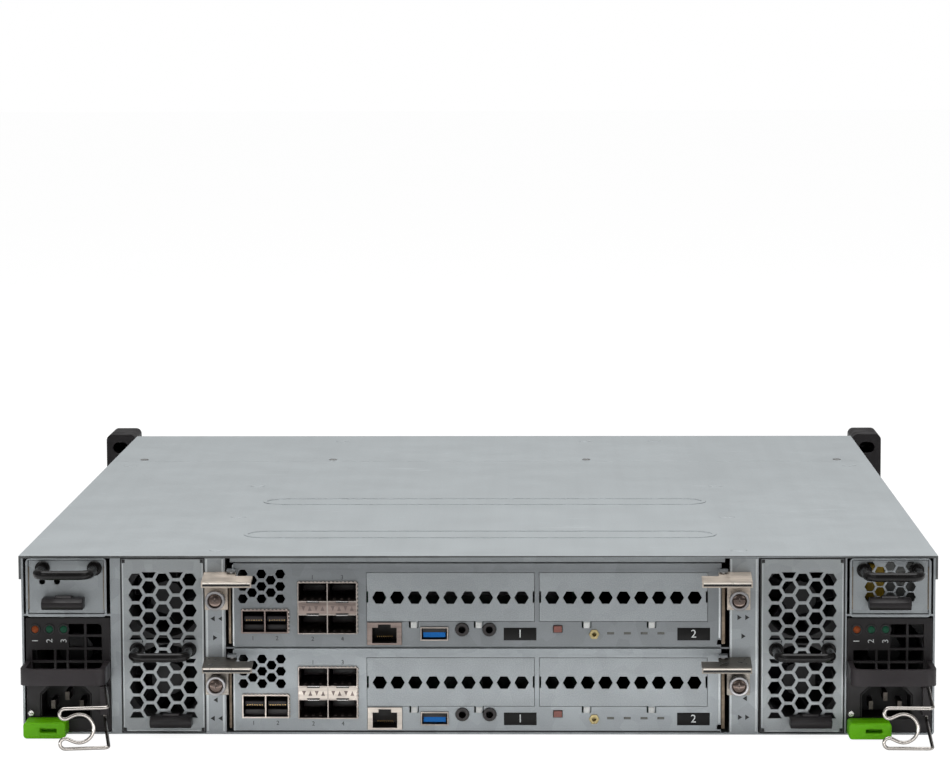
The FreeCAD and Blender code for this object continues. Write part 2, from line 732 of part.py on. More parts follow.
# The rear bays follow one another from the chassis sides to the middle.
gap = size.slide_gap
psu_left = -side_inner + size.psu_left_gap
psu_right = side_inner - gap - size.psu_wide
small_left = psu_left + size.small_left_in
small_right = psu_right + size.small_right_in
channel_outer = psu_left + size.psu_wide + gap
channel_inner = channel_outer + size.channel_wide
fan_left = channel_inner + gap
wall_right = psu_right - gap - size.wall_right_gauge
fan_right = wall_right - gap - size.fan_wide
column_inner = -(fan_left + size.fan_wide + size.column_left_gap + size.column_left_wide)
column_right = fan_right - size.column_right_gap
canister_half = column_inner - size.canister_gap
pivot_place = canister_half + size.pivot_out
lever_outer = column_inner + size.lever_out
lever_inner = lever_outer - size.lever_long
screw_place = column_inner + size.screw_inset


# ---------------------------------------------------------------- chassis


def chassis_base():
    """Base tray: floor and two side walls bent from one sheet."""
    base = new_body("chassis_base")
    bend = size.base_bend
    turn = side_outer - bend
    pad(base, "rear", rear, front, [[
        line((-turn, 0), (turn, 0)),
        arc((turn, 0), (side_outer, bend), (turn, bend), bend),
        line((side_outer, bend), (side_outer, roof)),
        line((side_outer, roof), (side_inner, roof)),
        line((side_inner, roof), (side_inner, floor)),
        line((side_inner, floor), (-side_inner, floor)),
        line((-side_inner, floor), (-side_inner, roof)),
        line((-side_inner, roof), (-side_outer, roof)),
        line((-side_outer, roof), (-side_outer, bend)),
        arc((-side_outer, bend), (-turn, 0), (-turn, bend), bend),
    ]])
    return node(base)


def cover_profile(skirt):
    return polygon([
        (-half, skirt), (-side_outer, skirt), (-side_outer, roof), (side_outer, roof),
        (side_outer, skirt), (half, skirt), (half, size.body_tall), (-half, size.body_tall),
    ])


def top_cover():
    """Removable cover with side skirts, a rear lip and two raised outlines."""
    cover = new_body("top_cover")
    skirt = size.body_tall - size.cover_skirt
    pad(cover, "rear", rear, rear + size.cover_deep, [cover_profile(skirt)])
    lip = (-size.lip_wide / 2, size.lip_wide / 2)
    lip_low = size.body_tall - size.lip_tall
    pad(cover, "rear", rear, rear + size.cover_gauge, [rectangle(lip, (lip_low, roof))])
    for place_back in (size.rib_first, size.rib_second):
        middle = rear + place_back
        across = (-size.rib_long / 2, size.rib_long / 2)
        along = (middle - size.rib_wide / 2, middle + size.rib_wide / 2)
        inner_across = (across[0] + size.rib_line, across[1] - size.rib_line)
        inner_along = (along[0] + size.rib_line, along[1] - size.rib_line)
        outline = [stadium(across, along), stadium(inner_across, inner_along)]
        pad(cover, "plan", size.body_tall, size.body_tall + size.rib_rise, outline)
    return node(cover)


def front_roof_panel():
    """Fixed roof over the drive bays."""
    panel = new_body("front_roof_panel")
    skirt = size.body_tall - size.cover_skirt
    start = rear + size.cover_deep + size.seam_gap
    pad(panel, "rear", start, front, [cover_profile(skirt)])
    return node(panel)


def small_bay_rims():
    """Thin rounded rims round the openings of the small module bays."""
    rims = []
    wide = size.rim_wide
    for seat in (small_left, small_right):
        low = size.small_seat - gap
        left, right = seat - wide, seat + size.small_wide + wide
        rim = new_body("small_bay_rim")
        pad(rim, "rear", rear - size.rim_proud, rear, [
            rounded((left, right), (low - wide, roof), size.rim_round),
            rectangle((left + wide - gap, right - wide + gap), (low, roof - wide / 2))])
        rims.append(rim)
    return rims


def channel(label, low, high, cutters=()):
    """Upright sheet channel, closed at the rear, open towards the midplane."""
    gauge = size.frame_gauge
    end = size.midplane_place
    body = new_body(label)
    pad(body, "plan", floor, roof, [polygon([
        (low, rear), (high, rear), (high, end), (high - gauge, end),
        (high - gauge, rear + gauge), (low + gauge, rear + gauge), (low + gauge, end), (low, end),
    ])])
    if not cutters:
        return body
    body.Label = label + "_sheet"
    return cut(label, body, cutters)


def screw_column(label, side, outer):
    """Channel beside the controllers, with their screw holes and the slots of the lever cams."""
    gauge = size.frame_gauge
    cutters = []
    for seat in (lower_seat, size.upper_seat):
        bore = size.screw_shank / 2 + gap
        cutters.append(rod_y("screw_bore", screw_place * side, seat + size.screw_high,
                             rear - 1, rear + gauge + 1, bore))
        slot = mirrored(side, column_inner - 1, column_inner + gauge + 1)
        cam = seat + size.lever_high - size.lever_gauge / 2
        cutters.append(box("cam_slot", slot, (rear + gauge, rear + size.cam_long + size.cam_room),
                           (cam - size.cam_slot / 2, cam + size.cam_slot / 2)))
    low, high = mirrored(side, column_inner, outer)
    return channel(label, low, high, cutters)


def rear_bay_frame():
    """Sheet channels, walls and shelves that divide the rear into module bays."""
    gauge = size.frame_gauge
    end = size.midplane_place
    column_left = column_inner + size.column_left_wide
    sheets = [
        channel("blank_channel", channel_outer, channel_inner),
        screw_column("left_column", -1, column_left),
        screw_column("right_column", 1, column_right),
        box("bay_wall", (wall_right, wall_right + size.wall_right_gauge), (rear, end), (floor, roof)),
    ]
    shelf_top = size.upper_seat - gap
    shelf_start = rear + size.canister_gauge + gap
    sheets.append(box("controller_shelf", (-column_inner, column_inner), (shelf_start, end),
                      (shelf_top - size.shelf_gauge, shelf_top)))
    psu_shelf = size.small_seat - gap
    for low, high in ((-side_inner, channel_outer), (wall_right + size.wall_right_gauge, side_inner)):
        sheets.append(box("supply_shelf", (low, high), (rear, end),
                          (psu_shelf - size.psu_shelf_gauge, psu_shelf)))
    border = size.plate_wide
    start = rear + size.fan_bay_deep
    for low, high in ((channel_inner, -column_left), (column_right, wall_right)):
        bulkhead = new_body("fan_bulkhead")
        pad(bulkhead, "rear", start, start + gauge, [
            rectangle((low, high), (floor, roof)),
            rectangle((low + border, high - border), (floor + border, roof - border)),
        ])
        sheets.append(bulkhead)
    return node(group("rear_bay_frame", sheets + small_bay_rims()))


def midplane_board():
    """Backplane between the drives and the rear modules, with its connectors."""
    board = new_body("midplane_sheet")
    start = size.midplane_place
    end = start + size.midplane_gauge
    across = (-side_inner + 1, side_inner - 1)
    windows = []
    for column in range(4):
        middle = (side_inner * 2 / 4) * (column - 1.5)
        for row in range(2):
            high = floor + (roof - floor) / 3 * (row + 1)
            windows.append(rectangle((middle - 34, middle + 34), (high - 4, high + 4)))
    pad(board, "rear", start, end, [rectangle(across, (floor, roof))] + windows)
    items = [board]
    for column in range(int(size.tray_columns.number)):
        for row in range(int(size.tray_rows.number)):
            x, z = tray_centre(column, row)
            items.append(box("drive_connector", (x - 20, x + 20), (end, end + size.connector_deep),
                             (z - 3, z + 3)))
    plug = (start - size.connector_deep, start)
    for seat in (lower_seat, size.upper_seat):
        low = seat + size.plug_low
        for side in (-1, 1):
            middle = size.plug_place * side
            items.append(box("canister_connector",
                             (middle - size.plug_wide / 2, middle + size.plug_wide / 2), plug,
                             (low, low + size.plug_tall)))
    for seat in (psu_left, psu_right):
        items.append(box("psu_connector", (seat + 8, seat + size.psu_wide - 8), plug,
                         (lower_seat + 12, lower_seat + 20)))
    for seat in (small_left, small_right):
        items.append(box("small_connector", (seat + 6, seat + size.small_wide - 6), plug,
                         (size.small_seat + 8, size.small_seat + 15)))
    return node(group("midplane_board", items))


def rack_ears():
    """Two moulded ears at the front, each with its rack slots through it."""
    ears = []
    low, high = size.ear_foot, size.body_tall + size.ear_rise
    centre = size.body_tall / 2
    back = front - size.ear_back
    for side, hand in ((-1, "left"), (1, "right")):
        ear = new_body("rack_ear_" + hand)
        middle = size.rack_pitch_wide / 2 * side
        long_half = (size.rack_hole + size.rack_slot) / 2
        tall_half = size.rack_hole / 2
        slots = []
        for step in (-1, 1):
            at = centre + size.rack_pitch_tall / 2 * step
            slots.append(stadium((middle - long_half, middle + long_half), (at - tall_half, at + tall_half)))
        across = mirrored(side, half, size.ear_span / 2)
        pad(ear, "rear", back, front + size.ear_ahead, [rounded(across, (low, high), size.ear_round)] + slots)
        pocket(ear, "rear", back, back + size.ear_screw_deep, [
            regular((half + size.ear_screw_in) * side, high - size.ear_screw_down, size.ear_screw / 2, 12)])
        ears.append(ear)
    return node(group("rack_ears", ears))


def cover_screws():
    """Countersunk screws that hold the roof panel and the cover."""
    screws = []
    line_back = rear + size.cover_deep + 6
    for share in (-0.917, -0.416, 0.255, 0.917):
        head = add("Part::Prism", "cover_screw")
        head.Polygon = 16
        bind(head, "Circumradius", size.cover_screw / 2)
        bind(head, "Height", size.screw_proud)
        screws.append(place(head, half * share, line_back, size.body_tall))
    return node(group("cover_screws", screws))


# ---------------------------------------------------------------- drive bays


def tray_cell():
    """Width and height of one drive bay inside the cage."""
    wide = (side_inner * 2 - size.cage_gauge * (size.tray_columns + 1)) / size.tray_columns
    tall = (roof - floor - size.cage_gauge * (size.tray_rows + 1)) / size.tray_rows
    return wide, tall


def tray_centre(column, row):
    wide, tall = tray_cell()
    x = -side_inner + size.cage_gauge + wide / 2 + (wide + size.cage_gauge) * column
    z = floor + size.cage_gauge + tall / 2 + (tall + size.cage_gauge) * row
    return x, z


def drive_cage():
    """Sheet lattice round the drive bays."""
    cage = new_body("drive_cage")
    wide, tall = tray_cell()
    loops = [rectangle((-side_inner, side_inner), (floor, roof))]
    for column in range(int(size.tray_columns.number)):
        for row in range(int(size.tray_rows.number)):
            x, z = tray_centre(column, row)
            loops.append(rectangle((x - wide / 2, x + wide / 2), (z - tall / 2, z + tall / 2)))
    pad(cage, "rear", size.cage_start, front - size.cage_front, loops)
    return node(cage)


def drive_tray(number, column, row):
    """One tray: bezel with rails, the drive, a lever and a release button."""
    label = f"drive_tray_{number:02d}"
    wide, tall = tray_cell()
    x, z = tray_centre(column, row)
    bezel_wide = wide + size.cage_gauge - size.bezel_gap
    bezel_tall = tall + size.cage_gauge - size.bezel_gap
    inner_half = wide / 2 - size.tray_gap
    drive_half = size.drive_wide / 2
    bezel_back = front - size.cage_front + size.slide_gap
    bezel_front = bezel_back + size.bezel_thick
    rail_start = size.midplane_place + size.midplane_gauge + size.connector_deep + size.slide_gap

    bezel = new_body(label + "_bezel")
    slots = []
    for step in range(3):
        left = size.tray_slot_first + size.tray_slot_pitch * step - bezel_wide / 2
        high = bezel_tall / 2 - size.tray_slot_down
        slots.append(rectangle((left, left + size.tray_slot_wide), (high - size.tray_slot_tall, high)))
    across = (-bezel_wide / 2, bezel_wide / 2)
    upright = (-bezel_tall / 2, bezel_tall / 2)
    pad(bezel, "rear", bezel_back, bezel_front, [rectangle(across, upright)] + slots)
    rail = (-tall / 2 + size.tray_gap, -tall / 2 + size.tray_gap + size.rail_tall)
    pad(bezel, "rear", rail_start, bezel_back, [
        rectangle((-inner_half, -drive_half), rail), rectangle((drive_half, inner_half), rail)])

    drive_low = -tall / 2 + size.tray_gap
    drive = box(label + "_drive", (-drive_half, drive_half), (rail_start, rail_start + size.drive_long),
                (drive_low, drive_low + size.drive_tall))
    lever = new_body(label + "_lever")
    lever_low = -bezel_tall / 2 + size.tray_lever_low
    lever_left = -bezel_wide / 2 + size.tray_lever_in
    lever_front = bezel_front + size.tray_lever_thick
    button_left = bezel_wide / 2 - size.tray_lever_in - size.tray_button
    lever_right = button_left - size.tray_button_gap
    pad(lever, "plan", lever_low, lever_low + size.tray_lever_tall, [polygon([
        (lever_left, bezel_front), (lever_right, bezel_front), (lever_right, lever_front),
        (lever_left + size.tray_lever_ramp, lever_front), (lever_left, bezel_front + size.tray_lever_thick / 3),
    ])])
    button = box(label + "_button", (button_left, button_left + size.tray_button),
                 (bezel_front, bezel_front + size.tray_lever_thick * 0.8),
                 (lever_low, lever_low + size.tray_lever_tall))
    tray = group(label, [bezel, drive, lever, button])
    return node(place(tray, x, 0, z))


def drive_trays():
    number = 0
    for row in range(int(size.tray_rows.number)):
        for column in range(int(size.tray_columns.number)):
            number += 1
            drive_tray(number, column, row)


# ---------------------------------------------------------------- controllers


def vent_hexes(label, columns, first, pitch, top, step, rows, flats, start, end):
    """Staggered hexagonal holes: whole rows in the odd columns, half a row lower in the even ones."""
    cutters = []
    for column in range(columns):
        odd = column % 2
        for row in range(rows - odd):
            z = top - step * (row + odd * 0.5)
            cutters.append(hex_y(label, first + pitch * column, z, start, end, flats))
    return cutters


def canister(label, seat):
    """Controller housing: closed sheet box with the connector panel and two slot blanks."""
    gauge = size.canister_gauge
    half_wide = canister_half
    body_half = half_wide - size.canister_inset
    tall = size.canister_tall
    face = (rear, rear + gauge)
    shell = new_body(label + "_shell")
    panel = [rectangle((-half_wide, half_wide), (0, tall))]
    slot_left = -size.slot_one
    windows = []
    for index in range(2):
        left = slot_left + size.slot_pitch * index
        windows.append(((left, left + size.slot_wide), (size.slot_low, size.slot_high)))
    for x, z in windows:
        panel.append(rectangle(x, z))
    fit = size.port_fit
    for left, wide, low, high in (
            (-size.sas_left, size.sas_wide, size.sas_low, size.sas_tall),
            (-size.sfp_left, size.sfp_wide, size.sfp_low, size.sfp_tall),
            (-size.rj_left, size.rj_wide, size.rj_low, size.rj_tall),
            (-size.usb_left, size.usb_wide, size.usb_low, size.usb_tall)):
        panel.append(rectangle((left - fit, left + wide + fit), (low - fit, low + high + fit)))
    for x in (-size.jack_first, size.jack_second):
        panel.append(regular(x, size.jack_high, size.jack_wide / 2 + fit, 16))
    mute = (size.mute_place - size.mute_wide / 2, size.mute_place + size.mute_wide / 2)
    panel.append(rectangle((mute[0] - gap, mute[1] + gap), (
        size.mute_high - size.mute_tall / 2 - gap, size.mute_high + size.mute_tall / 2 + gap)))
    pad(shell, "rear", face[0], face[1], panel)
    outer = rectangle((-body_half, body_half), (0, size.canister_body_tall))
    inner = rectangle((-body_half + gauge, body_half - gauge), (gauge, size.canister_body_tall - gauge))
    pad(shell, "rear", face[1], module_end - gauge, [outer, inner])
    room = size.plug_room
    socket = []
    for side in (-1, 1):
        middle = size.plug_place * side
        socket.append(rectangle((middle - size.plug_wide / 2 - room, middle + size.plug_wide / 2 + room),
                                (size.plug_low - room, size.plug_low + size.plug_tall + room)))
    pad(shell, "rear", module_end - gauge, module_end, [outer] + socket)
    strip = (tall - size.flange_tall, tall)
    pad(shell, "rear", rear - size.flange_proud, rear, [rectangle((-half_wide, half_wide), strip)])
    lug_low = size.lever_high + size.lug_rise
    for side in (-1, 1):
        lug = mirrored(side, pivot_place - size.lug_wide / 2, pivot_place + size.lug_wide / 2)
        pad(shell, "rear", rear - size.lug_deep, rear + gauge,
            [rectangle(lug, (lug_low, lug_low + size.lug_gauge))])

    cutters = vent_hexes("vent_hole", 5, -size.vent_first, size.vent_pitch, size.vent_top,
                         size.vent_step, 3, size.vent_flats, rear - 1, rear + gauge + 1)
    cutters.append(hex_y("nut_hole", size.nut_place, size.nut_high, rear - 1, rear + gauge + 1,
                         size.nut_flats + size.port_fit))
    cutters.append(box("corner_notch", (half_wide - size.notch_wide, half_wide + 1),
                       (rear - 1, rear + size.notch_deep), (size.notch_low, size.notch_low + size.notch_tall)))
    for step in range(4):
        middle = size.led_first + size.led_pitch * step
        cutters.append(box("led_hole", (middle - size.led_wide / 2, middle + size.led_wide / 2),
                           (rear - 1, rear + gauge + 1),
                           (size.led_high - size.led_tall / 2, size.led_high + size.led_tall / 2)))
    for x, z in windows:
        for step in range(2):
            clip = x[0] + size.slot_clip_first + size.slot_clip_pitch * step
            clip_low = size.slot_low - size.slot_clip_tall
            cutters.append(box("clip_hole",
                               (clip - size.slot_clip_gap, clip + size.slot_clip + size.slot_clip_gap),
                               (rear - 1, rear + gauge + 1),
                               (clip_low - size.slot_gap, size.slot_low + size.slot_gap)))
    housing = cut(label + "_housing", shell, cutters)
    solids = [housing]
    for index, (x, z) in enumerate(windows):
        solids.append(slot_blank(f"{label}_blank_{index + 1}", x, z))
    for side in (-1, 1):
        solids.append(rod_z("lever_pin", pivot_place * side, rear - size.lug_deep / 2,
                            size.lever_high - size.lever_gauge * 2, lug_low, size.lever_pin / 2))
    return node(place(group(label, solids), 0, 0, seat))


def slot_blank(label, x, z):
    """Cover plate of an expansion slot, with a row of hexagons and two clips."""
    gap = size.slot_gap
    plate = new_body(label + "_plate")
    left, right = x[0] + gap, x[1] - gap
    low, high = z[0] + gap, z[1] - gap
    notch_low = (z[0] + z[1]) / 2 - size.slot_notch_tall / 2
    notch_high = notch_low + size.slot_notch_tall
    deep = size.slot_notch_wide
    clip_a = left + size.slot_clip_first
    clip_b = clip_a + size.slot_clip_pitch
    foot = low - size.slot_clip_tall
    pad(plate, "rear", rear, rear + size.canister_gauge, [polygon([
        (left, low), (clip_a, low), (clip_a, foot), (clip_a + size.slot_clip, foot),
        (clip_a + size.slot_clip, low), (clip_b, low), (clip_b, foot), (clip_b + size.slot_clip, foot),
        (clip_b + size.slot_clip, low), (right, low), (right, notch_low), (right - deep, notch_low),
        (right - deep, notch_high), (right, notch_high), (right, high), (left, high),
        (left, notch_high), (left + deep, notch_high), (left + deep, notch_low), (left, notch_low),
    ])])
    first = left + size.slot_hex_first
    cutters = [hex_y("slot_hex", first + size.slot_hex_pitch * step, size.slot_hex_high,
                     rear - 1, rear + size.canister_gauge + 1, size.slot_hex) for step in range(9)]
    return cut(label, plate, cutters)


def controller_ports(label, seat):
    """Connector cages of one controller: expansion, optical, network, USB, jacks, light pipes."""
    proud = rear - size.cage_proud
    solids = []

    sas = new_body(label + "_expansion_cage")
    left = -size.sas_left
    z = (size.sas_low, size.sas_low + size.sas_tall)
    pad(sas, "rear", proud, rear + size.sas_deep, [rectangle((left, left + size.sas_wide), z)])
    cell = (size.sas_wide - size.sas_wall * 3) / 2
    mouths = []
    for index in range(2):
        start = left + size.sas_wall + (cell + size.sas_wall) * index
        mouths.append(rectangle((start, start + cell), (z[0] + size.sas_wall, z[1] - size.sas_wall)))
    pocket(sas, "rear", proud, rear + size.sas_tongue_deep, mouths)
    solids.append(sas)

    sfp = new_body(label + "_optical_cage")
    left = -size.sfp_left
    z = (size.sfp_low, size.sfp_low + size.sfp_tall)
    pad(sfp, "rear", proud, rear + size.sfp_deep, [rectangle((left, left + size.sfp_wide), z)])
    wall = size.sfp_wall
    cell = (size.sfp_wide - wall * 3) / 2
    mouths = []
    for index in range(2):
        start = left + wall + (cell + wall) * index
        mouths.append(rectangle((start, start + cell), (z[0] + wall, z[0] + wall + size.sfp_mouth)))
        mouths.append(rectangle((start, start + cell), (z[1] - wall - size.sfp_mouth, z[1] - wall)))
    pocket(sfp, "rear", proud, rear + size.sfp_deep - wall, mouths)
    solids.append(sfp)

    network = new_body(label + "_network_port")
    left = -size.rj_left
    low = size.rj_low
    pad(network, "rear", proud, rear + size.rj_deep,
        [rectangle((left, left + size.rj_wide), (low, low + size.rj_tall))])
    middle = left + size.rj_wide / 2
    mouth_low = low + (size.rj_tall - size.rj_mouth_tall - size.rj_key_tall) / 2
    mouth_high = mouth_low + size.rj_mouth_tall
    wide, key = size.rj_mouth_wide / 2, size.rj_key_wide / 2
    pocket(network, "rear", proud, rear + size.rj_deep - 2, [polygon([
        (middle - wide, mouth_low), (middle + wide, mouth_low), (middle + wide, mouth_high),
        (middle + key, mouth_high), (middle + key, mouth_high + size.rj_key_tall),
        (middle - key, mouth_high + size.rj_key_tall), (middle - key, mouth_high), (middle - wide, mouth_high),
    ])])
    solids.append(network)

    usb = new_body(label + "_usb_shell")
    left = -size.usb_left
    shell = size.usb_shell
    low, high = size.usb_low, size.usb_low + size.usb_tall
    pad(usb, "rear", proud, rear + size.usb_deep, [rectangle((left, left + size.usb_wide), (low, high))])
    pocket(usb, "rear", proud, rear + size.usb_deep - 2, [
        rectangle((left + shell, left + size.usb_wide - shell), (low + shell, high - shell))])
    solids.append(usb)
    tongue_low = (low + high - size.usb_tongue) / 2
    beside = shell + size.usb_tongue_gap
    solids.append(box(label + "_usb_tongue", (left + beside, left + size.usb_wide - beside),
                      (rear + size.usb_tongue_back, rear + size.usb_deep - 2),
                      (tongue_low, tongue_low + size.usb_tongue)))

    for index, x in enumerate((-size.jack_first, size.jack_second)):
        ring = bar_y("jack_body", x, size.jack_high, rear - size.jack_proud, rear + size.jack_deep,
                     size.jack_wide / 2, 16)
        bore = bar_y("jack_bore", x, size.jack_high, rear - 2, rear + size.jack_deep - 1, size.jack_bore / 2, 12)
        solids.append(cut(f"{label}_jack_{index + 1}", ring, [bore]))

    nut = hex_y(label + "_nut_body", size.nut_place, size.nut_high, rear - 0.6, rear + 5, size.nut_flats)
    hole = bar_y(label + "_nut_bore", size.nut_place, size.nut_high, rear - 1, rear + 4, size.nut_bore / 2, 12)
    solids.append(cut(label + "_nut", nut, [hole]))
    for step in range(4):
        middle = size.led_first + size.led_pitch * step
        solids.append(box(label + "_light_pipe", (middle - size.led_wide / 2, middle + size.led_wide / 2),
                          (rear + 0.1, rear + size.board_start),
                          (size.led_high - size.led_tall / 2, size.led_high + size.led_tall / 2)))
    return node(place(group(label, solids), 0, 0, seat))


def controller_board(label, seat):
    """Main board with heat sink, memory modules and the inner connectors."""
    low = size.board_low
    top = low + size.board_gauge
    start = rear + size.board_start
    end = module_end - size.board_clear
    solids = [box(label + "_sheet", (-size.board_wide / 2, size.board_wide / 2), (start, end), (low, top))]
    sink = new_body(label + "_heat_sink")
    count = int(size.fin_count.number)
    half_sink = size.sink_wide / 2
    pitch = (size.sink_wide - size.fin_gauge) / (count - 1)
    points = [(-half_sink, top), (half_sink, top)]
    for fin in range(count):
        right = half_sink - pitch * fin
        left = right - size.fin_gauge
        points += [(right, top + size.sink_tall), (left, top + size.sink_tall)]
        if fin < count - 1:
            points += [(left, top + size.sink_base), (right - pitch, top + size.sink_base)]
    sink_start = rear + size.sink_start
    pad(sink, "rear", sink_start, sink_start + size.sink_deep, [polygon(points)])
    solids.append(sink)
    for side in (-1, 1):
        for step in range(2):
            inner = half_sink + size.memory_pitch * (step + 0.8)
            across = mirrored(side, inner, inner + size.memory_gauge)
            memory = rear + size.memory_start
            solids.append(box(label + "_memory", across, (memory, memory + size.memory_long),
                              (top, top + size.memory_tall)))
    chip, chip_start = -size.chip_place, rear + size.chip_start
    solids.append(box(label + "_bridge_chip", (chip - size.chip_wide, chip),
                      (chip_start, chip_start + size.chip_wide),
                      (top, top + size.chip_tall)))
    for side in (-1, 1):
        middle = size.plug_place * side
        half_plug = size.plug_wide / 2 - size.plug_room
        solids.append(box(label + "_edge_connector", (middle - half_plug, middle + half_plug),
                          (end - size.plug_deep, module_end - size.plug_back), (top, top + size.plug_tall)))
    return node(place(group(label, solids), 0, 0, seat))


def mute_button(label, seat):
    """Small push button in the controller panel."""
    x = (size.mute_place - size.mute_wide / 2, size.mute_place + size.mute_wide / 2)
    z = (size.mute_high - size.mute_tall / 2, size.mute_high + size.mute_tall / 2)
    button = new_body(label)
    pad(button, "rear", rear - 0.2 - size.mute_travel, rear + size.mute_cap, [rectangle(x, z)])
    thin = size.mute_stem / 2
    pad(button, "rear", rear + size.mute_cap, rear + size.board_start - gap - size.mute_travel, [
        rectangle((size.mute_place - thin, size.mute_place + thin),
                  (size.mute_high - thin, size.mute_high + thin))])
    return node(place(button, 0, 0, seat))


def ejector_lever(label, side, seat):
    """Bent-sheet lever: grip with folded edge, screw tab and cam tail."""
    pin_y = rear - size.lug_deep / 2
    hole = size.lever_pin / 2 + size.lever_fit
    top = size.lever_high
    low = top - size.lever_gauge
    back = rear - size.lever_back
    tip = rear - size.lever_reach
    step_y = rear - size.lever_step
    half_cam = size.cam_wide / 2
    cam_inner = canister_half + gap
    eye = pivot_place - size.lever_eye

    def at(x, y):
        return (as_length(x) * side, y)

    grip_points = [
        at(lever_inner, tip), at(lever_outer, tip), at(lever_outer, back),
        at(pivot_place + half_cam, back), at(pivot_place + half_cam, rear + size.cam_long),
        at(cam_inner, rear + size.cam_long), at(cam_inner, back), at(eye, pin_y),
        at(eye, step_y), at(lever_inner, step_y),
    ]
    lever = new_body(label)
    pad(lever, "plan", low, top, [polygon(grip_points), circle(pivot_place * side, pin_y, hole)])
    grip = mirrored(side, lever_inner, lever_outer)
    hem = (top - size.hem_tall, low)
    pad(lever, "rear", tip, tip + size.lever_gauge, [rectangle(grip, hem)])
    slot_high = top - (size.hem_tall - size.hem_slot) / 2
    inset = size.hem_slot_deep
    pocket(lever, "rear", tip, tip + inset, [
        rectangle((grip[0] + inset, grip[1] - inset), (slot_high - size.hem_slot, slot_high))])
    screw_x = screw_place * side
    tongue = (screw_x - size.tongue_wide / 2, screw_x + size.tongue_wide / 2)
    pad(lever, "rear", back - size.lever_gauge, back, [
        rectangle(tongue, (size.tongue_low, low)),
        regular(screw_x, size.screw_high, size.screw_shank / 2 + size.slide_gap, 12)])
    return node(place(lever, 0, 0, seat))


def thumbscrew(label, side, seat):
    """Captive screw: knurled head, driver face and shank."""
    x = screw_place * side
    z = size.screw_high
    back = rear - size.lever_back
    tab_front = back - size.lever_gauge
    head_back = tab_front - gap - size.screw_travel
    head_front = head_back - (size.screw_long - size.screw_travel)
    head = bar_y("screw_head", x, z, head_front, head_back, size.screw_head / 2, 20)
    shank = bar_y("screw_shank", x, z, head_back, back, size.screw_shank / 2, 12)
    recess = head_front + size.core_deep
    core = bar_y("screw_recess", x, z, head_front - 1, recess, size.screw_core / 2, 12)
    arm, slim = size.cross_long / 2, size.cross_wide / 2
    cross_end = recess + size.cross_deep
    bars = [box("screw_cross", (x - across, x + across), (head_front - 1, cross_end), (z - up, z + up))
            for across, up in ((arm, slim), (slim, arm))]
    blank = fuse("screw_blank", [head, shank])
    screw = cut(label, blank, [core] + bars)
    return node(place(screw, 0, 0, seat))


# ---------------------------------------------------------------- fans


def fan_frame(label, x, z, start, wide):
    """Square fan frame along Y with its bore, a strut, the motor base and the shaft."""
    end = start + size.fan_frame_deep
    half_wide = as_length(wide) / 2
    sides = 20
    bore = (size.rotor_wide / 2 + size.frame_bore_gap) / math.cos(math.pi / sides)
    base = end - size.fan_spider
    strut = size.fan_spider / 2
    across = (x - half_wide, x + half_wide)
    block = box(label + "_block", across, (start, end), (z - half_wide, z + half_wide))
    ring = cut(label + "_ring", block, [bar_y("fan_bore", x, z, start - 1, end + 1, bore, sides)])
    bridge = box(label + "_strut", across, (base, end), (z - strut, z + strut))
    motor = bar_y("motor_base", x, z, base - size.motor_proud, end, size.rotor_hub / 2, 14)
    shaft = rod_y("motor_shaft", x, z, base - size.rotor_long + 1, base - size.motor_proud,
                  size.rotor_shaft / 2)
    frame = fuse(label, [ring, bridge, motor, shaft])
    return frame


def fan_rotor(label, x, z, start):
    """Hub cup with pitched blades, made at its own axis and set in its frame."""
    hub = size.rotor_hub.number / 2
    tip = size.rotor_wide.number / 2
    long = size.rotor_long.number
    gauge = size.blade_gauge.number
    count = int(size.blade_count.number)
    pitch = math.radians(size.blade_pitch.number)
    reach = math.sqrt(tip ** 2 - (long / 2 * math.sin(pitch) + gauge / 2) ** 2)
    centre, ahead = Vector(0, 0, 0), Vector(0, 1, 0)
    shape = Part.Face(many_sided(centre, ahead, hub, count * 2)).extrude(Vector(0, long, 0))
    for step in range(count):
        blade = Part.makeBox(gauge, long, reach - hub + 1, Vector(-gauge / 2, 0, hub - 1))
        blade.rotate(Vector(0, long / 2, 0), Vector(0, 0, 1), size.blade_pitch.number)
        blade.rotate(centre, ahead, 360 / count * step)
        shape = shape.fuse(blade)
    inside = size.slide_gap.number
    bore = Part.makeCylinder(size.rotor_shaft.number / 2 + inside, long, Vector(0, inside * 5, 0), ahead)
    rotor = add("Part::Feature", label)
    rotor.Shape = shape.cut(bore)
    back = start + size.fan_frame_deep - size.fan_spider - size.motor_proud - size.slide_gap
    return node(place(rotor, x, back - size.rotor_long, z))


def many_sided(centre, ahead, radius, sides):
    """Closed outline of a regular section across a direction."""
    ahead = Vector(ahead).normalize()
    seed = Vector(0, 0, 1) if abs(ahead.z) < 0.9 else Vector(1, 0, 0)
    across = ahead.cross(seed).normalize()
    other = ahead.cross(across)
    corners = []
    for step in range(sides):
        angle = 2 * math.pi * (step + 0.5) / sides
        corners.append(centre + across * (radius * math.cos(angle)) + other * (radius * math.sin(angle)))
    return Part.makePolygon(corners + corners[:1])


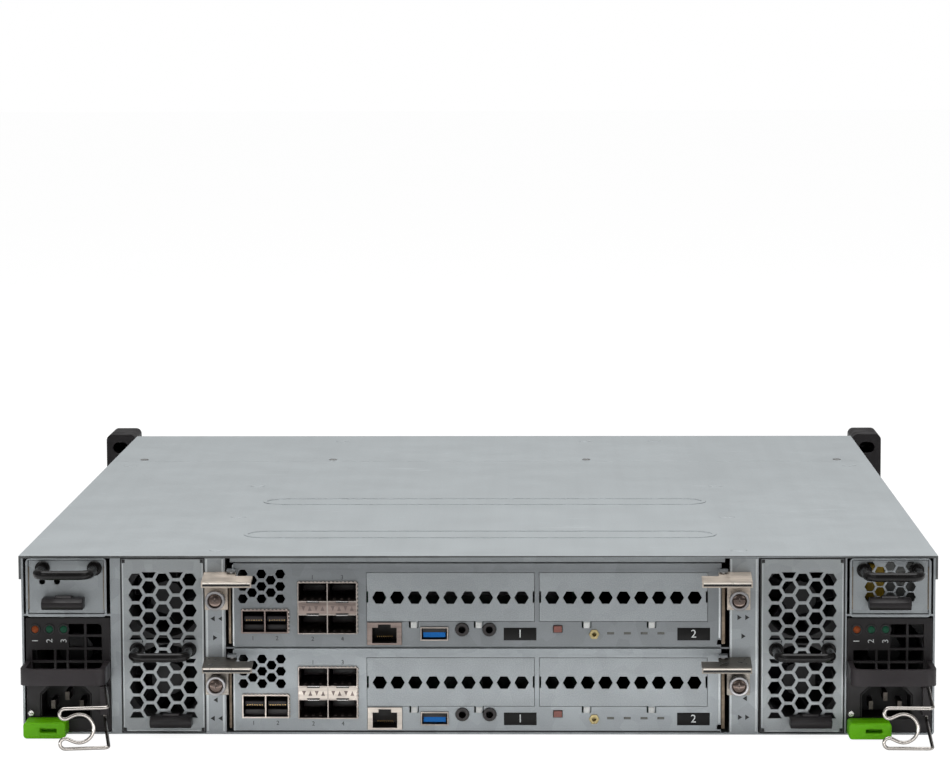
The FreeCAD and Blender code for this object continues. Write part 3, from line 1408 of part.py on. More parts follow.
def rod_along(points, radius, sides):
    """Rod of flat sides along the points, mitred at each of them."""
    ahead = (points[1] - points[0]).normalize()
    ring = [vertex.Point for vertex in many_sided(points[0], ahead, radius, sides).OrderedVertexes][:sides]
    faces = [Part.Face(Part.makePolygon(ring + ring[:1]))]
    for index in range(1, len(points)):
        at = points[index]
        ahead = (at - points[index - 1]).normalize()
        after = (points[index + 1] - at).normalize() if index + 1 < len(points) else ahead
        mitre = (ahead + after).normalize()
        following = [corner + ahead * ((at - corner).dot(mitre) / ahead.dot(mitre)) for corner in ring]
        for side in range(sides):
            near, far = ring[side - 1], ring[side]
            faces.append(Part.Face(Part.makePolygon([near, far, following[side], following[side - 1], near])))
        ring = following
    faces.append(Part.Face(Part.makePolygon(ring + ring[:1])))
    shell = Part.Shell(faces)
    shell.sewShape()
    solid = Part.Solid(shell)
    if solid.Volume < 0:
        solid.reverse()
    return solid


def arc_points(start, crown, end, steps):
    """Points along the arc through three points, without its start."""
    return Part.Arc(start, crown, end).toShape().discretize(steps + 1)[1:]


def rounded_route(points, radius, steps):
    """The points with an arc of one radius at each inner one."""
    route = [points[0]]
    for before, at, after in zip(points, points[1:], points[2:]):
        back, on = (before - at).normalize(), (after - at).normalize()
        half_turn = back.getAngle(on) / 2
        trim = radius / math.tan(half_turn)
        crown = at + (back + on).normalize() * (radius / math.sin(half_turn) - radius)
        route += [at + back * trim] + arc_points(at + back * trim, crown, at + on * trim, steps)
    return route + [points[-1]]


def wire_handle(label, x, z, face):
    """U-shaped rod between two foot collars, standing out of a face."""
    left, right = x - size.handle_pitch / 2, x + size.handle_pitch / 2
    reach = size.handle_reach.number - size.handle_rod.number / 2
    span = size.handle_pitch.number / 2
    points = [Vector(-span, 0, 0), Vector(-span, -reach, 0), Vector(span, -reach, 0), Vector(span, 0, 0)]
    rod = add("Part::Feature", label + "_rod")
    rod.Shape = rod_along(rounded_route(points, size.handle_bend.number, 3), size.handle_rod.number / 2, 8)
    place(rod, x, face, z)
    collars = [bar_y(label + "_collar", foot, z, face - size.handle_foot, face, size.handle_boss / 2, 12)
               for foot in (left, right)]
    return fuse(label, [rod] + collars)


def module_latch(label, x, z, seat_x, seat_z):
    """Moulded latch: a wedge with a thumb bump, on a stem through the module face."""
    left, right = x - size.latch_wide / 2, x + size.latch_wide / 2
    tip = rear - size.latch_reach
    back = rear - gap
    bottom, top = z - size.latch_tall / 2, z + size.latch_tall / 2
    bevel, bump, ends = size.latch_bevel, size.latch_bump, size.latch_bump_in
    latch = new_body(label)
    pad(latch, "side", left, right, [polygon([
        (tip, bottom + bevel), (tip + bevel, bottom), (back, bottom), (back, top),
        (tip + bevel * 2, top), (tip, top - bevel),
    ])])
    ramp = tip + bevel * 2 + bump
    pad(latch, "side", left + ends, right - ends, [polygon([
        (ramp, top), (back - bump, top), (back - bump * 2, top + bump), (ramp + bump, top + bump)])])
    half_stem, half_tall = size.latch_stem / 2, size.latch_stem_tall / 2
    pad(latch, "rear", back, rear + size.latch_stem_long, [
        rectangle((x - half_stem, x + half_stem), (z - half_tall, z + half_tall))])
    return node(place(latch, seat_x, 0, seat_z))


def latch_hole(x, z, gauge):
    """Hole for the latch's stem, tall enough for its travel."""
    half_wide = size.latch_stem / 2 + size.latch_room
    half_tall = size.latch_stem_tall / 2 + size.latch_room
    return box("latch_hole", (x - half_wide, x + half_wide), (rear - 1, rear + gauge + 1),
               (z - half_tall, z + half_tall + size.latch_travel))


def fan_module(name, seat):
    """Hot-swap module with two stacked fans behind a hexagonal grille."""
    wide, tall, gauge = size.fan_wide, size.fan_tall, size.fan_gauge
    label = f"fan_module_{name}"
    latch_x, latch_z = wide - size.fan_latch_in, size.fan_latch_high
    shell = new_body(label + "_shell")
    pad(shell, "rear", rear, rear + size.fan_deep, [rectangle((0, wide), (0, tall))])
    pocket(shell, "rear", rear + gauge, rear + size.fan_deep, [
        rectangle((gauge, wide - gauge), (gauge, tall - gauge))])
    pitch = size.grille_flats + size.grille_web
    columns = []
    for column in range(5):
        even = column % 2
        for row in range(10 + even):
            z = size.grille_top - pitch * (row - even * 0.5)
            x = size.grille_first + pitch * math.cos(math.radians(30)) * column
            columns.append(hex_y("grille_hex", x, z, rear - 1, rear + gauge + 1, size.grille_flats))
    depth = (rear - 2, rear + gauge + 2)
    window = box(label + "_window", (2, wide - 2), depth, (size.grille_low, size.grille_high))
    strips = [box(label + "_strip", across, depth, (size.boss_low, size.boss_high))
              for across in ((0, size.boss_wide), (wide - size.boss_wide, wide))]
    open_area = cut(label + "_open_area", window, strips)
    holes = common(label + "_holes", group(label + "_hexes", columns), open_area)
    case = cut(label + "_case", shell, [holes, latch_hole(latch_x, latch_z, gauge)])
    handle_z = (size.boss_low + size.boss_high) / 2
    handle = wire_handle(label + "_handle", wide / 2, handle_z, rear)
    frames = []
    start = rear + size.fan_start
    inner = wide - gauge * 2
    for index in range(2):
        z = size.fan_low + size.fan_pitch * index
        frames.append(fan_frame(f"{label}_frame_{index + 1}", wide / 2, z, start, inner))
        fan_rotor(f"fan_rotor_{name}_{index + 1}", seat + wide / 2, lower_seat + z, start)
    plug_end = rear + size.fan_deep - size.fan_plug_in
    half_plug = size.fan_plug_wide / 2
    plug = box(label + "_plug", (wide / 2 - half_plug, wide / 2 + half_plug),
               (plug_end - size.fan_plug_deep, plug_end),
               (gauge, gauge + size.fan_plug_tall))
    node(place(group(label, [case, handle, plug] + frames), seat, 0, lower_seat))
    module_latch(f"fan_latch_{name}", latch_x, latch_z, seat, lower_seat)


# ---------------------------------------------------------------- power supplies


def power_supply(name, seat, turn):
    """Hot-swap supply: sheet case with its fan, moulded bezel, inlet, tab and wire bail."""
    wide, tall, gauge = size.psu_wide, size.psu_tall, size.psu_gauge
    label = f"psu_{name}"
    bezel_back = rear + size.psu_bezel
    shell = new_body(label + "_shell")
    pad(shell, "rear", bezel_back, module_end, [rectangle((0, wide), (0, tall))])
    pocket(shell, "rear", bezel_back, module_end - gauge, [
        rectangle((gauge, wide - gauge), (gauge, tall - gauge))])
    fan_x = wide / 2
    fan_wide = wide - gauge * 2
    fan_z = tall - gauge - fan_wide / 2
    start = rear + size.psu_fan_start
    frame = fan_frame(label + "_fan_frame", fan_x, fan_z, start, fan_wide)
    fan_rotor(f"psu_rotor_{name}", seat + fan_x, lower_seat + fan_z, start)
    core_start = start + size.fan_frame_deep + size.psu_core_gap
    core = box(label + "_electronics", (gauge, wide - gauge), (core_start, module_end - gauge),
               (gauge, tall * size.psu_core_share))
    node(place(group(f"{label}_case", [shell, frame, core]), seat, 0, lower_seat))
    psu_bezel(label, seat, bezel_back)
    power_inlet(label, seat)
    release_tab(label, seat)
    cord_bail(name, seat, turn)


def inlet_outline(margin):
    """Inlet recess with chamfered top corners, grown by a margin."""
    left = size.inlet_left - margin
    right = size.inlet_left + size.inlet_wide + margin
    low = size.inlet_low - margin
    high = size.inlet_low + size.inlet_tall + margin
    corner = size.inlet_corner + as_length(margin) * 0.4
    return polygon([(left, low), (right, low), (right, high - corner), (right - corner, high),
                    (left + corner, high), (left, high - corner)])


def psu_bezel(label, seat, back):
    """Moulded bezel with finger guard, handle band, status lights and wire lug."""
    wide, tall = size.psu_wide, size.psu_tall
    bezel = new_body(label + "_face")
    cells = []
    edge = size.grid_right
    for index, cell in enumerate((size.grid_one, size.grid_two, size.grid_three, size.grid_four)):
        rows = range(4) if index < 2 else range(2, 4)
        for row in rows:
            high = size.grid_top - (size.grid_row + size.grid_web) * row
            cells.append(rectangle((edge - cell, edge), (high - size.grid_row, high)))
        edge = edge - cell - size.grid_web
    stem = stem_outline(gap)
    outline = rounded((0, wide), (0, tall), size.psu_round)
    pad(bezel, "rear", rear, back, [outline, inlet_outline(gap)] + cells + [stem])
    lug_x = (size.bail_place - size.bail_lug / 2, size.bail_place + size.bail_lug / 2)
    lug_z = (size.bail_low + size.bail_lug_end, size.bail_top - size.bail_lug_end)
    pivot = rear - size.bail_pivot_ahead
    pad(bezel, "rear", pivot - size.bail_lug / 2, rear, [rectangle(lug_x, lug_z)])
    bore = rod_z(label + "_wire_bore", size.bail_place, pivot, lug_z[0] - 1, lug_z[1] + 1,
                 size.bail_wire / 2 + size.bail_fit)
    face = cut(label + "_moulding", bezel, [bore])
    lenses = []
    for step in range(3):
        x = size.psu_led_first + size.psu_led_pitch * step
        lenses.append(bar_y(label + "_light", x, size.psu_led_high, rear - size.lens_proud, rear,
                            size.psu_led / 2, 8))
    screw = bar_y(label + "_screw", size.psu_screw_place, size.psu_screw_high, rear - 0.8, rear,
                  size.psu_screw / 2, 12)
    node(place(group(f"{label}_bezel", [face, psu_handle(label), screw] + lenses), seat, 0, lower_seat))


def psu_handle(label):
    """Flat band bent round the front of the bezel, with rounded corners."""
    wide = size.psu_wide
    low = size.psu_handle_low
    tip = rear - size.psu_handle_reach
    thick, bend = size.psu_handle_thick, size.psu_handle_bend
    band = new_body(label + "_handle")
    pad(band, "plan", low, low + size.psu_handle_tall, [[
        line((0, rear), (0, tip + bend)),
        arc((0, tip + bend), (bend, tip), (bend, tip + bend), bend),
        line((bend, tip), (wide - bend, tip)),
        arc((wide - bend, tip), (wide, tip + bend), (wide - bend, tip + bend), bend),
        line((wide, tip + bend), (wide, rear)),
        line((wide, rear), (wide - thick, rear)),
        line((wide - thick, rear), (wide - thick, tip + bend)),
        line((wide - thick, tip + bend), (wide - bend, tip + thick)),
        line((wide - bend, tip + thick), (bend, tip + thick)),
        line((bend, tip + thick), (thick, tip + bend)),
        line((thick, tip + bend), (thick, rear)),
        line((thick, rear), (0, rear)),
    ]])
    return band


def stem_outline(margin):
    """Section of the release tab's stem, or of its slot when grown by a margin."""
    left = (size.tab_wide - size.tab_stem) / 2
    low = size.tab_stem_low
    travel = size.tab_travel if margin else 0
    return rectangle((left - margin, left + size.tab_stem + margin + travel),
                     (low - margin, low + size.tab_stem_tall + margin))


def power_inlet(label, seat):
    """Mains inlet: moulded cup with three blades."""
    cup = new_body(label + "_cup")
    wall = size.inlet_cup
    deep = rear + size.psu_bezel
    end = rear + size.inlet_deep
    pad(cup, "rear", rear, deep, [inlet_outline(gap / 3)])
    pad(cup, "rear", deep, end + wall, [
        rectangle((size.inlet_left - wall, size.inlet_left + size.inlet_wide + wall),
                  (size.inlet_low - wall, size.inlet_low + size.inlet_tall + wall))])
    pocket(cup, "rear", rear, end, [inlet_outline(-size.inlet_wall)])
    middle = size.inlet_left + size.inlet_wide / 2
    across, up = size.pin_wide / 2, size.pin_tall / 2
    blades = []
    for x, z in ((middle - size.pin_pitch, size.pin_low), (middle, size.pin_high),
                 (middle + size.pin_pitch, size.pin_low)):
        blades.append(box(label + "_blade", (x - across, x + across), (rear + size.pin_back, end),
                          (z - up, z + up)))
    node(place(group(label + "_inlet", [cup] + blades), seat, 0, lower_seat))


def release_tab(label, seat):
    """Coloured tab that is squeezed sideways to unlatch the supply."""
    tab = new_body(label + "_tab")
    low = -size.tab_hang
    tip = rear - size.tab_reach
    back = rear - gap
    pad(tab, "rear", tip, back, [rounded((0, size.tab_wide), (low, low + size.tab_tall), size.tab_round)])
    slot_x = (size.tab_slot_wide, size.tab_slot_wide * 2)
    slot_z = low + size.tab_tall / 2 - size.tab_slot_tall / 2
    pocket(tab, "rear", tip, tip + size.tab_slot_deep,
           [rectangle(slot_x, (slot_z, slot_z + size.tab_slot_tall))])
    pad(tab, "rear", back, rear + size.tab_stem_long, [stem_outline(0)])
    node(place(tab, seat, 0, lower_seat))


def cord_bail(name, seat, turn):
    """Spring-wire cord retainer: two legs, two hooks and a plug saddle, swinging on a lug."""
    long, drop = size.bail_long.number, size.bail_drop.number
    top, low = size.bail_top.number, size.bail_low.number
    corner, hook, saddle = size.bail_corner.number, size.bail_hook.number, size.bail_saddle.number
    reach, rise = size.bail_reach.number, size.bail_front_tall.number / 2
    middle = (top + low) / 2 - drop
    leg_rise = (top - low) / 2
    stub = leg_rise - size.bail_stub.number

    # Half of the wire, from the end in the lug to the middle of the saddle.
    hook_z = rise - hook
    heading = math.radians(size.bail_slope.number)
    shift_x = (hook + saddle - hook_z * math.cos(heading)) / math.sin(heading)
    place_x = reach - shift_x
    leave = (-reach + hook * math.sin(heading), hook_z - hook * math.cos(heading))
    meet = (-place_x - saddle * math.sin(heading), saddle * math.cos(heading))

    def front_point(x, z, sign):
        return Vector(x, -long, middle + z * sign)

    def half(sign):
        """Points of one half of the wire, from its end in the lug to the saddle."""
        hinge_z = (top + low) / 2
        points = [Vector(0, 0, hinge_z + stub * sign), Vector(0, 0, hinge_z + leg_rise * sign),
                  front_point(0, rise, sign), front_point(-reach, rise, sign)]
        half_turn = (math.pi + heading) / 2
        crown = front_point(-reach - hook * math.sin(half_turn), hook_z + hook * math.cos(half_turn), sign)
        hook_bend = arc_points(points[-1], crown, front_point(*leave, sign), 6)
        return rounded_route(points, corner, 3) + hook_bend + [front_point(*meet, sign)]

    crown = Vector(-place_x + saddle, -long, middle)
    first, second = half(1), half(-1)
    saddle_bend = arc_points(first[-1], crown, second[-1], 4)
    points = first + saddle_bend[:-1] + second[::-1]
    shape = rod_along(points, size.bail_wire.number / 2, 6)
    shape.rotate(Vector(0, 0, 0), Vector(0, 0, 1), turn.number)
    bail = add("Part::Feature", f"cord_bail_{name}")
    bail.Shape = shape
    return node(place(bail, seat + size.bail_place, rear - size.bail_pivot_ahead, lower_seat))


# ---------------------------------------------------------------- small upper modules


def small_module(name, seat, vented):
    """Small module over a power supply, with a wire handle; the right one is vented."""
    wide, tall, gauge = size.small_wide, size.small_tall, size.small_gauge
    label = f"small_module_{name}"
    latch_x = wide / 2 + (size.right_latch_off if vented else size.left_latch_off)
    latch_z = size.small_latch_high
    shell = new_body(label + "_shell")
    pad(shell, "rear", rear, module_end, [rectangle((0, wide), (0, tall))])
    pocket(shell, "rear", rear + gauge, module_end - gauge, [
        rectangle((gauge, wide - gauge), (gauge, tall - gauge))])
    cutters = [latch_hole(latch_x, latch_z, gauge)]
    through = (rear - 1, rear + gauge + 1)
    if vented:
        cutters += vent_hexes(label + "_hex", 5, size.small_pitch * 1.7, size.small_pitch, size.small_hex_top,
                              size.small_step, 4, size.small_flats, *through)
    else:
        for step in range(2):
            x = size.small_hole_first + size.small_hole_pitch * step
            cutters.append(bar_y(label + "_hole", x, size.small_hole_high, *through, size.small_hole / 2, 12))
    case = cut(label + "_case", shell, cutters)
    handle_x = wide / 2 + (size.right_handle_off if vented else size.left_handle_off)
    handle_z = size.right_handle_high if vented else size.left_handle_high
    handle = wire_handle(label + "_handle", handle_x, handle_z, rear)
    core = box(label + "_core", (gauge, wide - gauge), (rear + size.small_core, module_end - gauge),
               (gauge, tall - gauge * 3))
    node(place(group(label, [case, handle, core]), seat, 0, size.small_seat))
    module_latch(f"small_latch_{name}", latch_x, latch_z, seat, size.small_seat)


# ---------------------------------------------------------------- build and write

chassis_base()
top_cover()
front_roof_panel()
rear_bay_frame()
midplane_board()
rack_ears()
cover_screws()
drive_cage()
drive_trays()
for name, seat in (("upper", size.upper_seat), ("lower", lower_seat)):
    canister(f"canister_{name}", seat)
    controller_ports(f"ports_{name}", seat)
    controller_board(f"board_{name}", seat)
    mute_button(f"mute_button_{name}", seat)
    for hand, side in (("left", -1), ("right", 1)):
        ejector_lever(f"lever_{name}_{hand}", side, seat)
        thumbscrew(f"thumbscrew_{name}_{hand}", side, seat)
fan_module("left", fan_left)
fan_module("right", fan_right)
power_supply("left", psu_left, size.bail_left_turn)
power_supply("right", psu_right, size.bail_right_turn)
small_module("left", small_left, False)
small_module("right", small_right, True)

doc.recompute()
failed = [item.Label for item in doc.Objects if "Invalid" in item.State or "Error" in item.State]
if failed:
    raise SystemExit("not computed: " + ", ".join(failed))
os.makedirs("parts", exist_ok=True)
for item in nodes:
    if item.Shape.isNull() or not item.Shape.isValid() or not item.Shape.Solids:
        raise SystemExit("bad shape: " + item.Label)
    item.Shape.exportStep(os.path.join("parts", item.Label + ".step"))
print(len(nodes), "sub-parts written")
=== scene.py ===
"""Looks of a two-unit rack disk shelf seen from its connector side: materials, smooth wires, port details."""

import math

import bmesh
import bpy
from mathutils import Euler, Matrix, Vector


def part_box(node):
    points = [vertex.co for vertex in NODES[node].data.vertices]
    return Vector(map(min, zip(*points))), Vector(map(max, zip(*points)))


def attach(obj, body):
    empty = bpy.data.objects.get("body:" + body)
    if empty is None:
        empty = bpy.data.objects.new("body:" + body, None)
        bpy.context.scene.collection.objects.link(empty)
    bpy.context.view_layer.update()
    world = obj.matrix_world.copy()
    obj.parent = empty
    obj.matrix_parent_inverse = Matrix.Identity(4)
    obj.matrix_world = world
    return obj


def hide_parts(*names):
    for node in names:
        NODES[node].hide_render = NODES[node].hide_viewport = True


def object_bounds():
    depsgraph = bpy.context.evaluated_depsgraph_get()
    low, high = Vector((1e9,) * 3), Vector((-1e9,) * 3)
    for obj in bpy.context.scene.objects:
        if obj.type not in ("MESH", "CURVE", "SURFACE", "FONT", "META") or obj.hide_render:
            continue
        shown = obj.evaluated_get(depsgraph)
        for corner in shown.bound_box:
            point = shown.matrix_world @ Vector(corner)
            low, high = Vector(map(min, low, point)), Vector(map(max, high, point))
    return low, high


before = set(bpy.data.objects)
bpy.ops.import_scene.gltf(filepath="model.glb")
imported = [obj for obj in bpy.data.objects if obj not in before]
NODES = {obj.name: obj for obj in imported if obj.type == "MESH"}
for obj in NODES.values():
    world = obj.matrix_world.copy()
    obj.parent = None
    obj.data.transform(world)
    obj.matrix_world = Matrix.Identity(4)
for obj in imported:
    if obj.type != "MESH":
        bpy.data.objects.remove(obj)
cad_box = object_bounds()
MM = 0.001
LEFT_RIGHT = ("left", "right")
UPPER_LOWER = ("upper", "lower")
FRAME_AHEAD = 0.8 * MM
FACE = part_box("rear_bay_frame")[0].y + FRAME_AHEAD
ORIGIN = Vector()
SHARP_ANGLE = math.radians(35)
ARC_STEPS = 10
# sheet faces deeper than this behind the rear plane get painted shade
UNSHADED_DEPTH = 2.0 * MM
PRINT_DEPTH = 0.03 * MM
FIGURE_DEPTH = 0.04 * MM
FIRST_LIGHT, LIGHT_PITCH = 4.6, 7.0
WORLD_LEVEL = 0.26


def spot(x, z, ahead=0.0, corner=ORIGIN):
    """Point at the rear plane or ahead of it, in millimetres across and up from a corner."""
    return Vector((corner.x + x * MM, FACE - ahead * MM, corner.z + z * MM))


# -------- materials


def feed(tree, value, socket):
    """Link a socket to the output of a node, or set its plain value."""
    if isinstance(value, bpy.types.NodeSocket):
        tree.links.new(value, socket)
    else:
        socket.default_value = value


def operate(tree, kind, operation, *values):
    """Maths node with its inputs fed in their order."""
    node = tree.nodes.new("ShaderNode" + kind)
    node.operation = operation
    for value, socket in zip(values, node.inputs):
        feed(tree, value, socket)
    return node


class Finish:
    """A Principled material with helpers for the nodes that feed it."""

    def __init__(self, name, colour, roughness=0.5, metallic=0.0, **sockets):
        self.material = bpy.data.materials.new(name)
        self.material.use_nodes = True
        self.tree = self.material.node_tree
        self.shader = self.tree.nodes["Principled BSDF"]
        self.colour = colour
        self.set("Base Color", (*colour, 1))
        self.set("Roughness", roughness)
        self.set("Metallic", metallic)
        for socket, value in sockets.items():
            self.set(socket.replace("_", " "), value)

    def set(self, socket, value):
        self.shader.inputs[socket].default_value = value

    def add(self, kind, **inputs):
        node = self.tree.nodes.new("ShaderNode" + kind)
        for socket, value in inputs.items():
            feed(self.tree, value, node.inputs[socket.replace("_", " ")])
        return node

    def place(self, stretch=(1, 1, 1)):
        coords = self.tree.nodes.new("ShaderNodeTexCoord")
        return self.add("Mapping", Vector=coords.outputs["Object"], Scale=stretch).outputs["Vector"]

    def noise(self, scale, detail=3.0, stretch=(1, 1, 1), distortion=0.0):
        node = self.add("TexNoise", Vector=self.place(stretch), Scale=scale, Detail=detail,
                        Distortion=distortion)
        return node.outputs["Fac"]

    def cells(self, scale, stretch=(1, 1, 1)):
        """Grey value that is constant over each crystal-like cell."""
        node = self.add("TexVoronoi", Vector=self.place(stretch), Scale=scale)
        return self.add("RGBToBW", Color=node.outputs["Color"]).outputs["Val"]

    def ramp(self, factor, low, high, start=0.35, end=0.65):
        node = self.add("MapRange", Value=factor, From_Min=start, From_Max=end, To_Min=low, To_Max=high)
        return node.outputs["Result"]

    def vary(self, factors):
        """Multiply the base colour by the product of grey factors."""
        value = factors[0]
        for factor in factors[1:]:
            value = operate(self.tree, "Math", "MULTIPLY", value, factor).outputs[0]
        scale = operate(self.tree, "VectorMath", "SCALE", self.colour)
        self.tree.links.new(value, scale.inputs["Scale"])
        self.tree.links.new(scale.outputs["Vector"], self.shader.inputs["Base Color"])

    def rough(self, factor, low, high):
        self.tree.links.new(self.ramp(factor, low, high), self.shader.inputs["Roughness"])

    def bumps(self, height, strength, distance, edge=0.0):
        """Relief, with the solid's edges softened by a small radius."""
        bump = self.add("Bump", Height=height, Strength=strength, Distance=distance)
        if edge:
            bevel = self.add("Bevel", Radius=edge)
            bevel.samples = 4
            self.tree.links.new(bevel.outputs["Normal"], bump.inputs["Normal"])
        self.tree.links.new(bump.outputs["Normal"], self.shader.inputs["Normal"])


def galvanised(name, colour, spangle=0.06, grain=0.04, edge=0.0002):
    """Zinc-coated sheet: soft crystal patches, faint clouds and fine grain."""
    finish = Finish(name, colour, metallic=0.55)
    patches = finish.ramp(finish.cells(130), 1 - spangle, 1 + spangle, 0.2, 0.8)
    clouds = finish.ramp(finish.noise(22, 4), 0.96, 1.04)
    fine = finish.noise(1900, 2)
    finish.vary([patches, clouds, finish.ramp(fine, 1 - grain, 1 + grain)])
    finish.rough(finish.noise(60, 4), 0.39, 0.48)
    finish.bumps(fine, 0.12, 0.00006, edge)
    return finish.material


def cover_sheet():
    """Cover sheet: even pale zinc with fine grain, faint handling marks and rolling direction."""
    finish = Finish("cover_zinc", (0.47, 0.505, 0.52), metallic=0.35)
    grain = finish.noise(1500, 3)
    clouds = finish.ramp(finish.noise(5, 3), 0.975, 1.02)
    rolling = finish.ramp(finish.noise(150, 3, (1, 0.03, 1)), 0.985, 1.015)
    scratches = finish.ramp(finish.noise(90, 8, (0.25, 1, 1), 1.5), 1.0, 1.12, 0.66, 0.74)
    finish.vary([finish.ramp(grain, 0.95, 1.05), clouds, rolling, scratches])
    finish.rough(finish.noise(35, 4), 0.46, 0.53)
    finish.bumps(grain, 0.1, 0.00005, 0.0004)
    return finish.material


def moulded(name, colour, roughness=0.45, texture=0.25, edge=0.0004, dull=1.0):
    """Moulded plastic with a fine spark-eroded texture and slight wear."""
    finish = Finish(name, colour, roughness=roughness, Specular_IOR_Level=0.5 * dull)
    fine = finish.noise(2600, 2)
    finish.vary([finish.ramp(finish.noise(40, 5), 0.86, 1.14), finish.ramp(fine, 0.94, 1.06)])
    finish.rough(finish.noise(120, 4), roughness - 0.07, roughness + 0.09)
    finish.bumps(fine, texture, 0.00008, edge)
    return finish.material


def plated(name, colour, roughness=0.25, grain=0.1, edge=0.0002, metallic=1.0):
    """Plated or drawn metal with fine lengthwise lines."""
    finish = Finish(name, colour, metallic=metallic)
    lines = finish.noise(900, 3, (0.04, 1, 1))
    finish.vary([finish.ramp(lines, 1 - grain, 1 + grain), finish.ramp(finish.noise(70, 4), 0.9, 1.08)])
    finish.rough(finish.noise(160, 4), roughness * 0.75, roughness * 1.35)
    finish.bumps(lines, 0.08, 0.00005, edge)
    return finish.material


def solder_mask():
    """Green board with darker copper pours and fine tracks under the mask."""
    finish = Finish("solder_mask", (0.02, 0.13, 0.06), roughness=0.35, Coat_Weight=0.3, Coat_Roughness=0.15)
    tracks = finish.ramp(finish.cells(420, (1, 3, 1)), 0.75, 1.25, 0.3, 0.7)
    finish.vary([tracks, finish.ramp(finish.noise(60, 5), 0.8, 1.2)])
    finish.bumps(finish.cells(420, (1, 3, 1)), 0.2, 0.00005, 0.0002)
    return finish.material


def lens(name, colour, glow):
    """Frosted lens of a status light, faintly lit."""
    finish = Finish(name, colour, roughness=0.45, Emission_Strength=glow, Specular_IOR_Level=0.2)
    finish.set("Emission Color", (*colour, 1))
    finish.vary([finish.ramp(finish.noise(900, 3), 0.7, 1.3)])
    finish.bumps(finish.noise(1500, 2), 0.2, 0.00005)
    return finish.material


def ink(name, colour):
    """Screen-printed ink with slightly uneven cover."""
    finish = Finish(name, colour, roughness=0.6)
    finish.vary([finish.ramp(finish.noise(1400, 4), 0.75, 1.25)])
    finish.bumps(finish.noise(2500, 2), 0.1, 0.00003)
    return finish.material


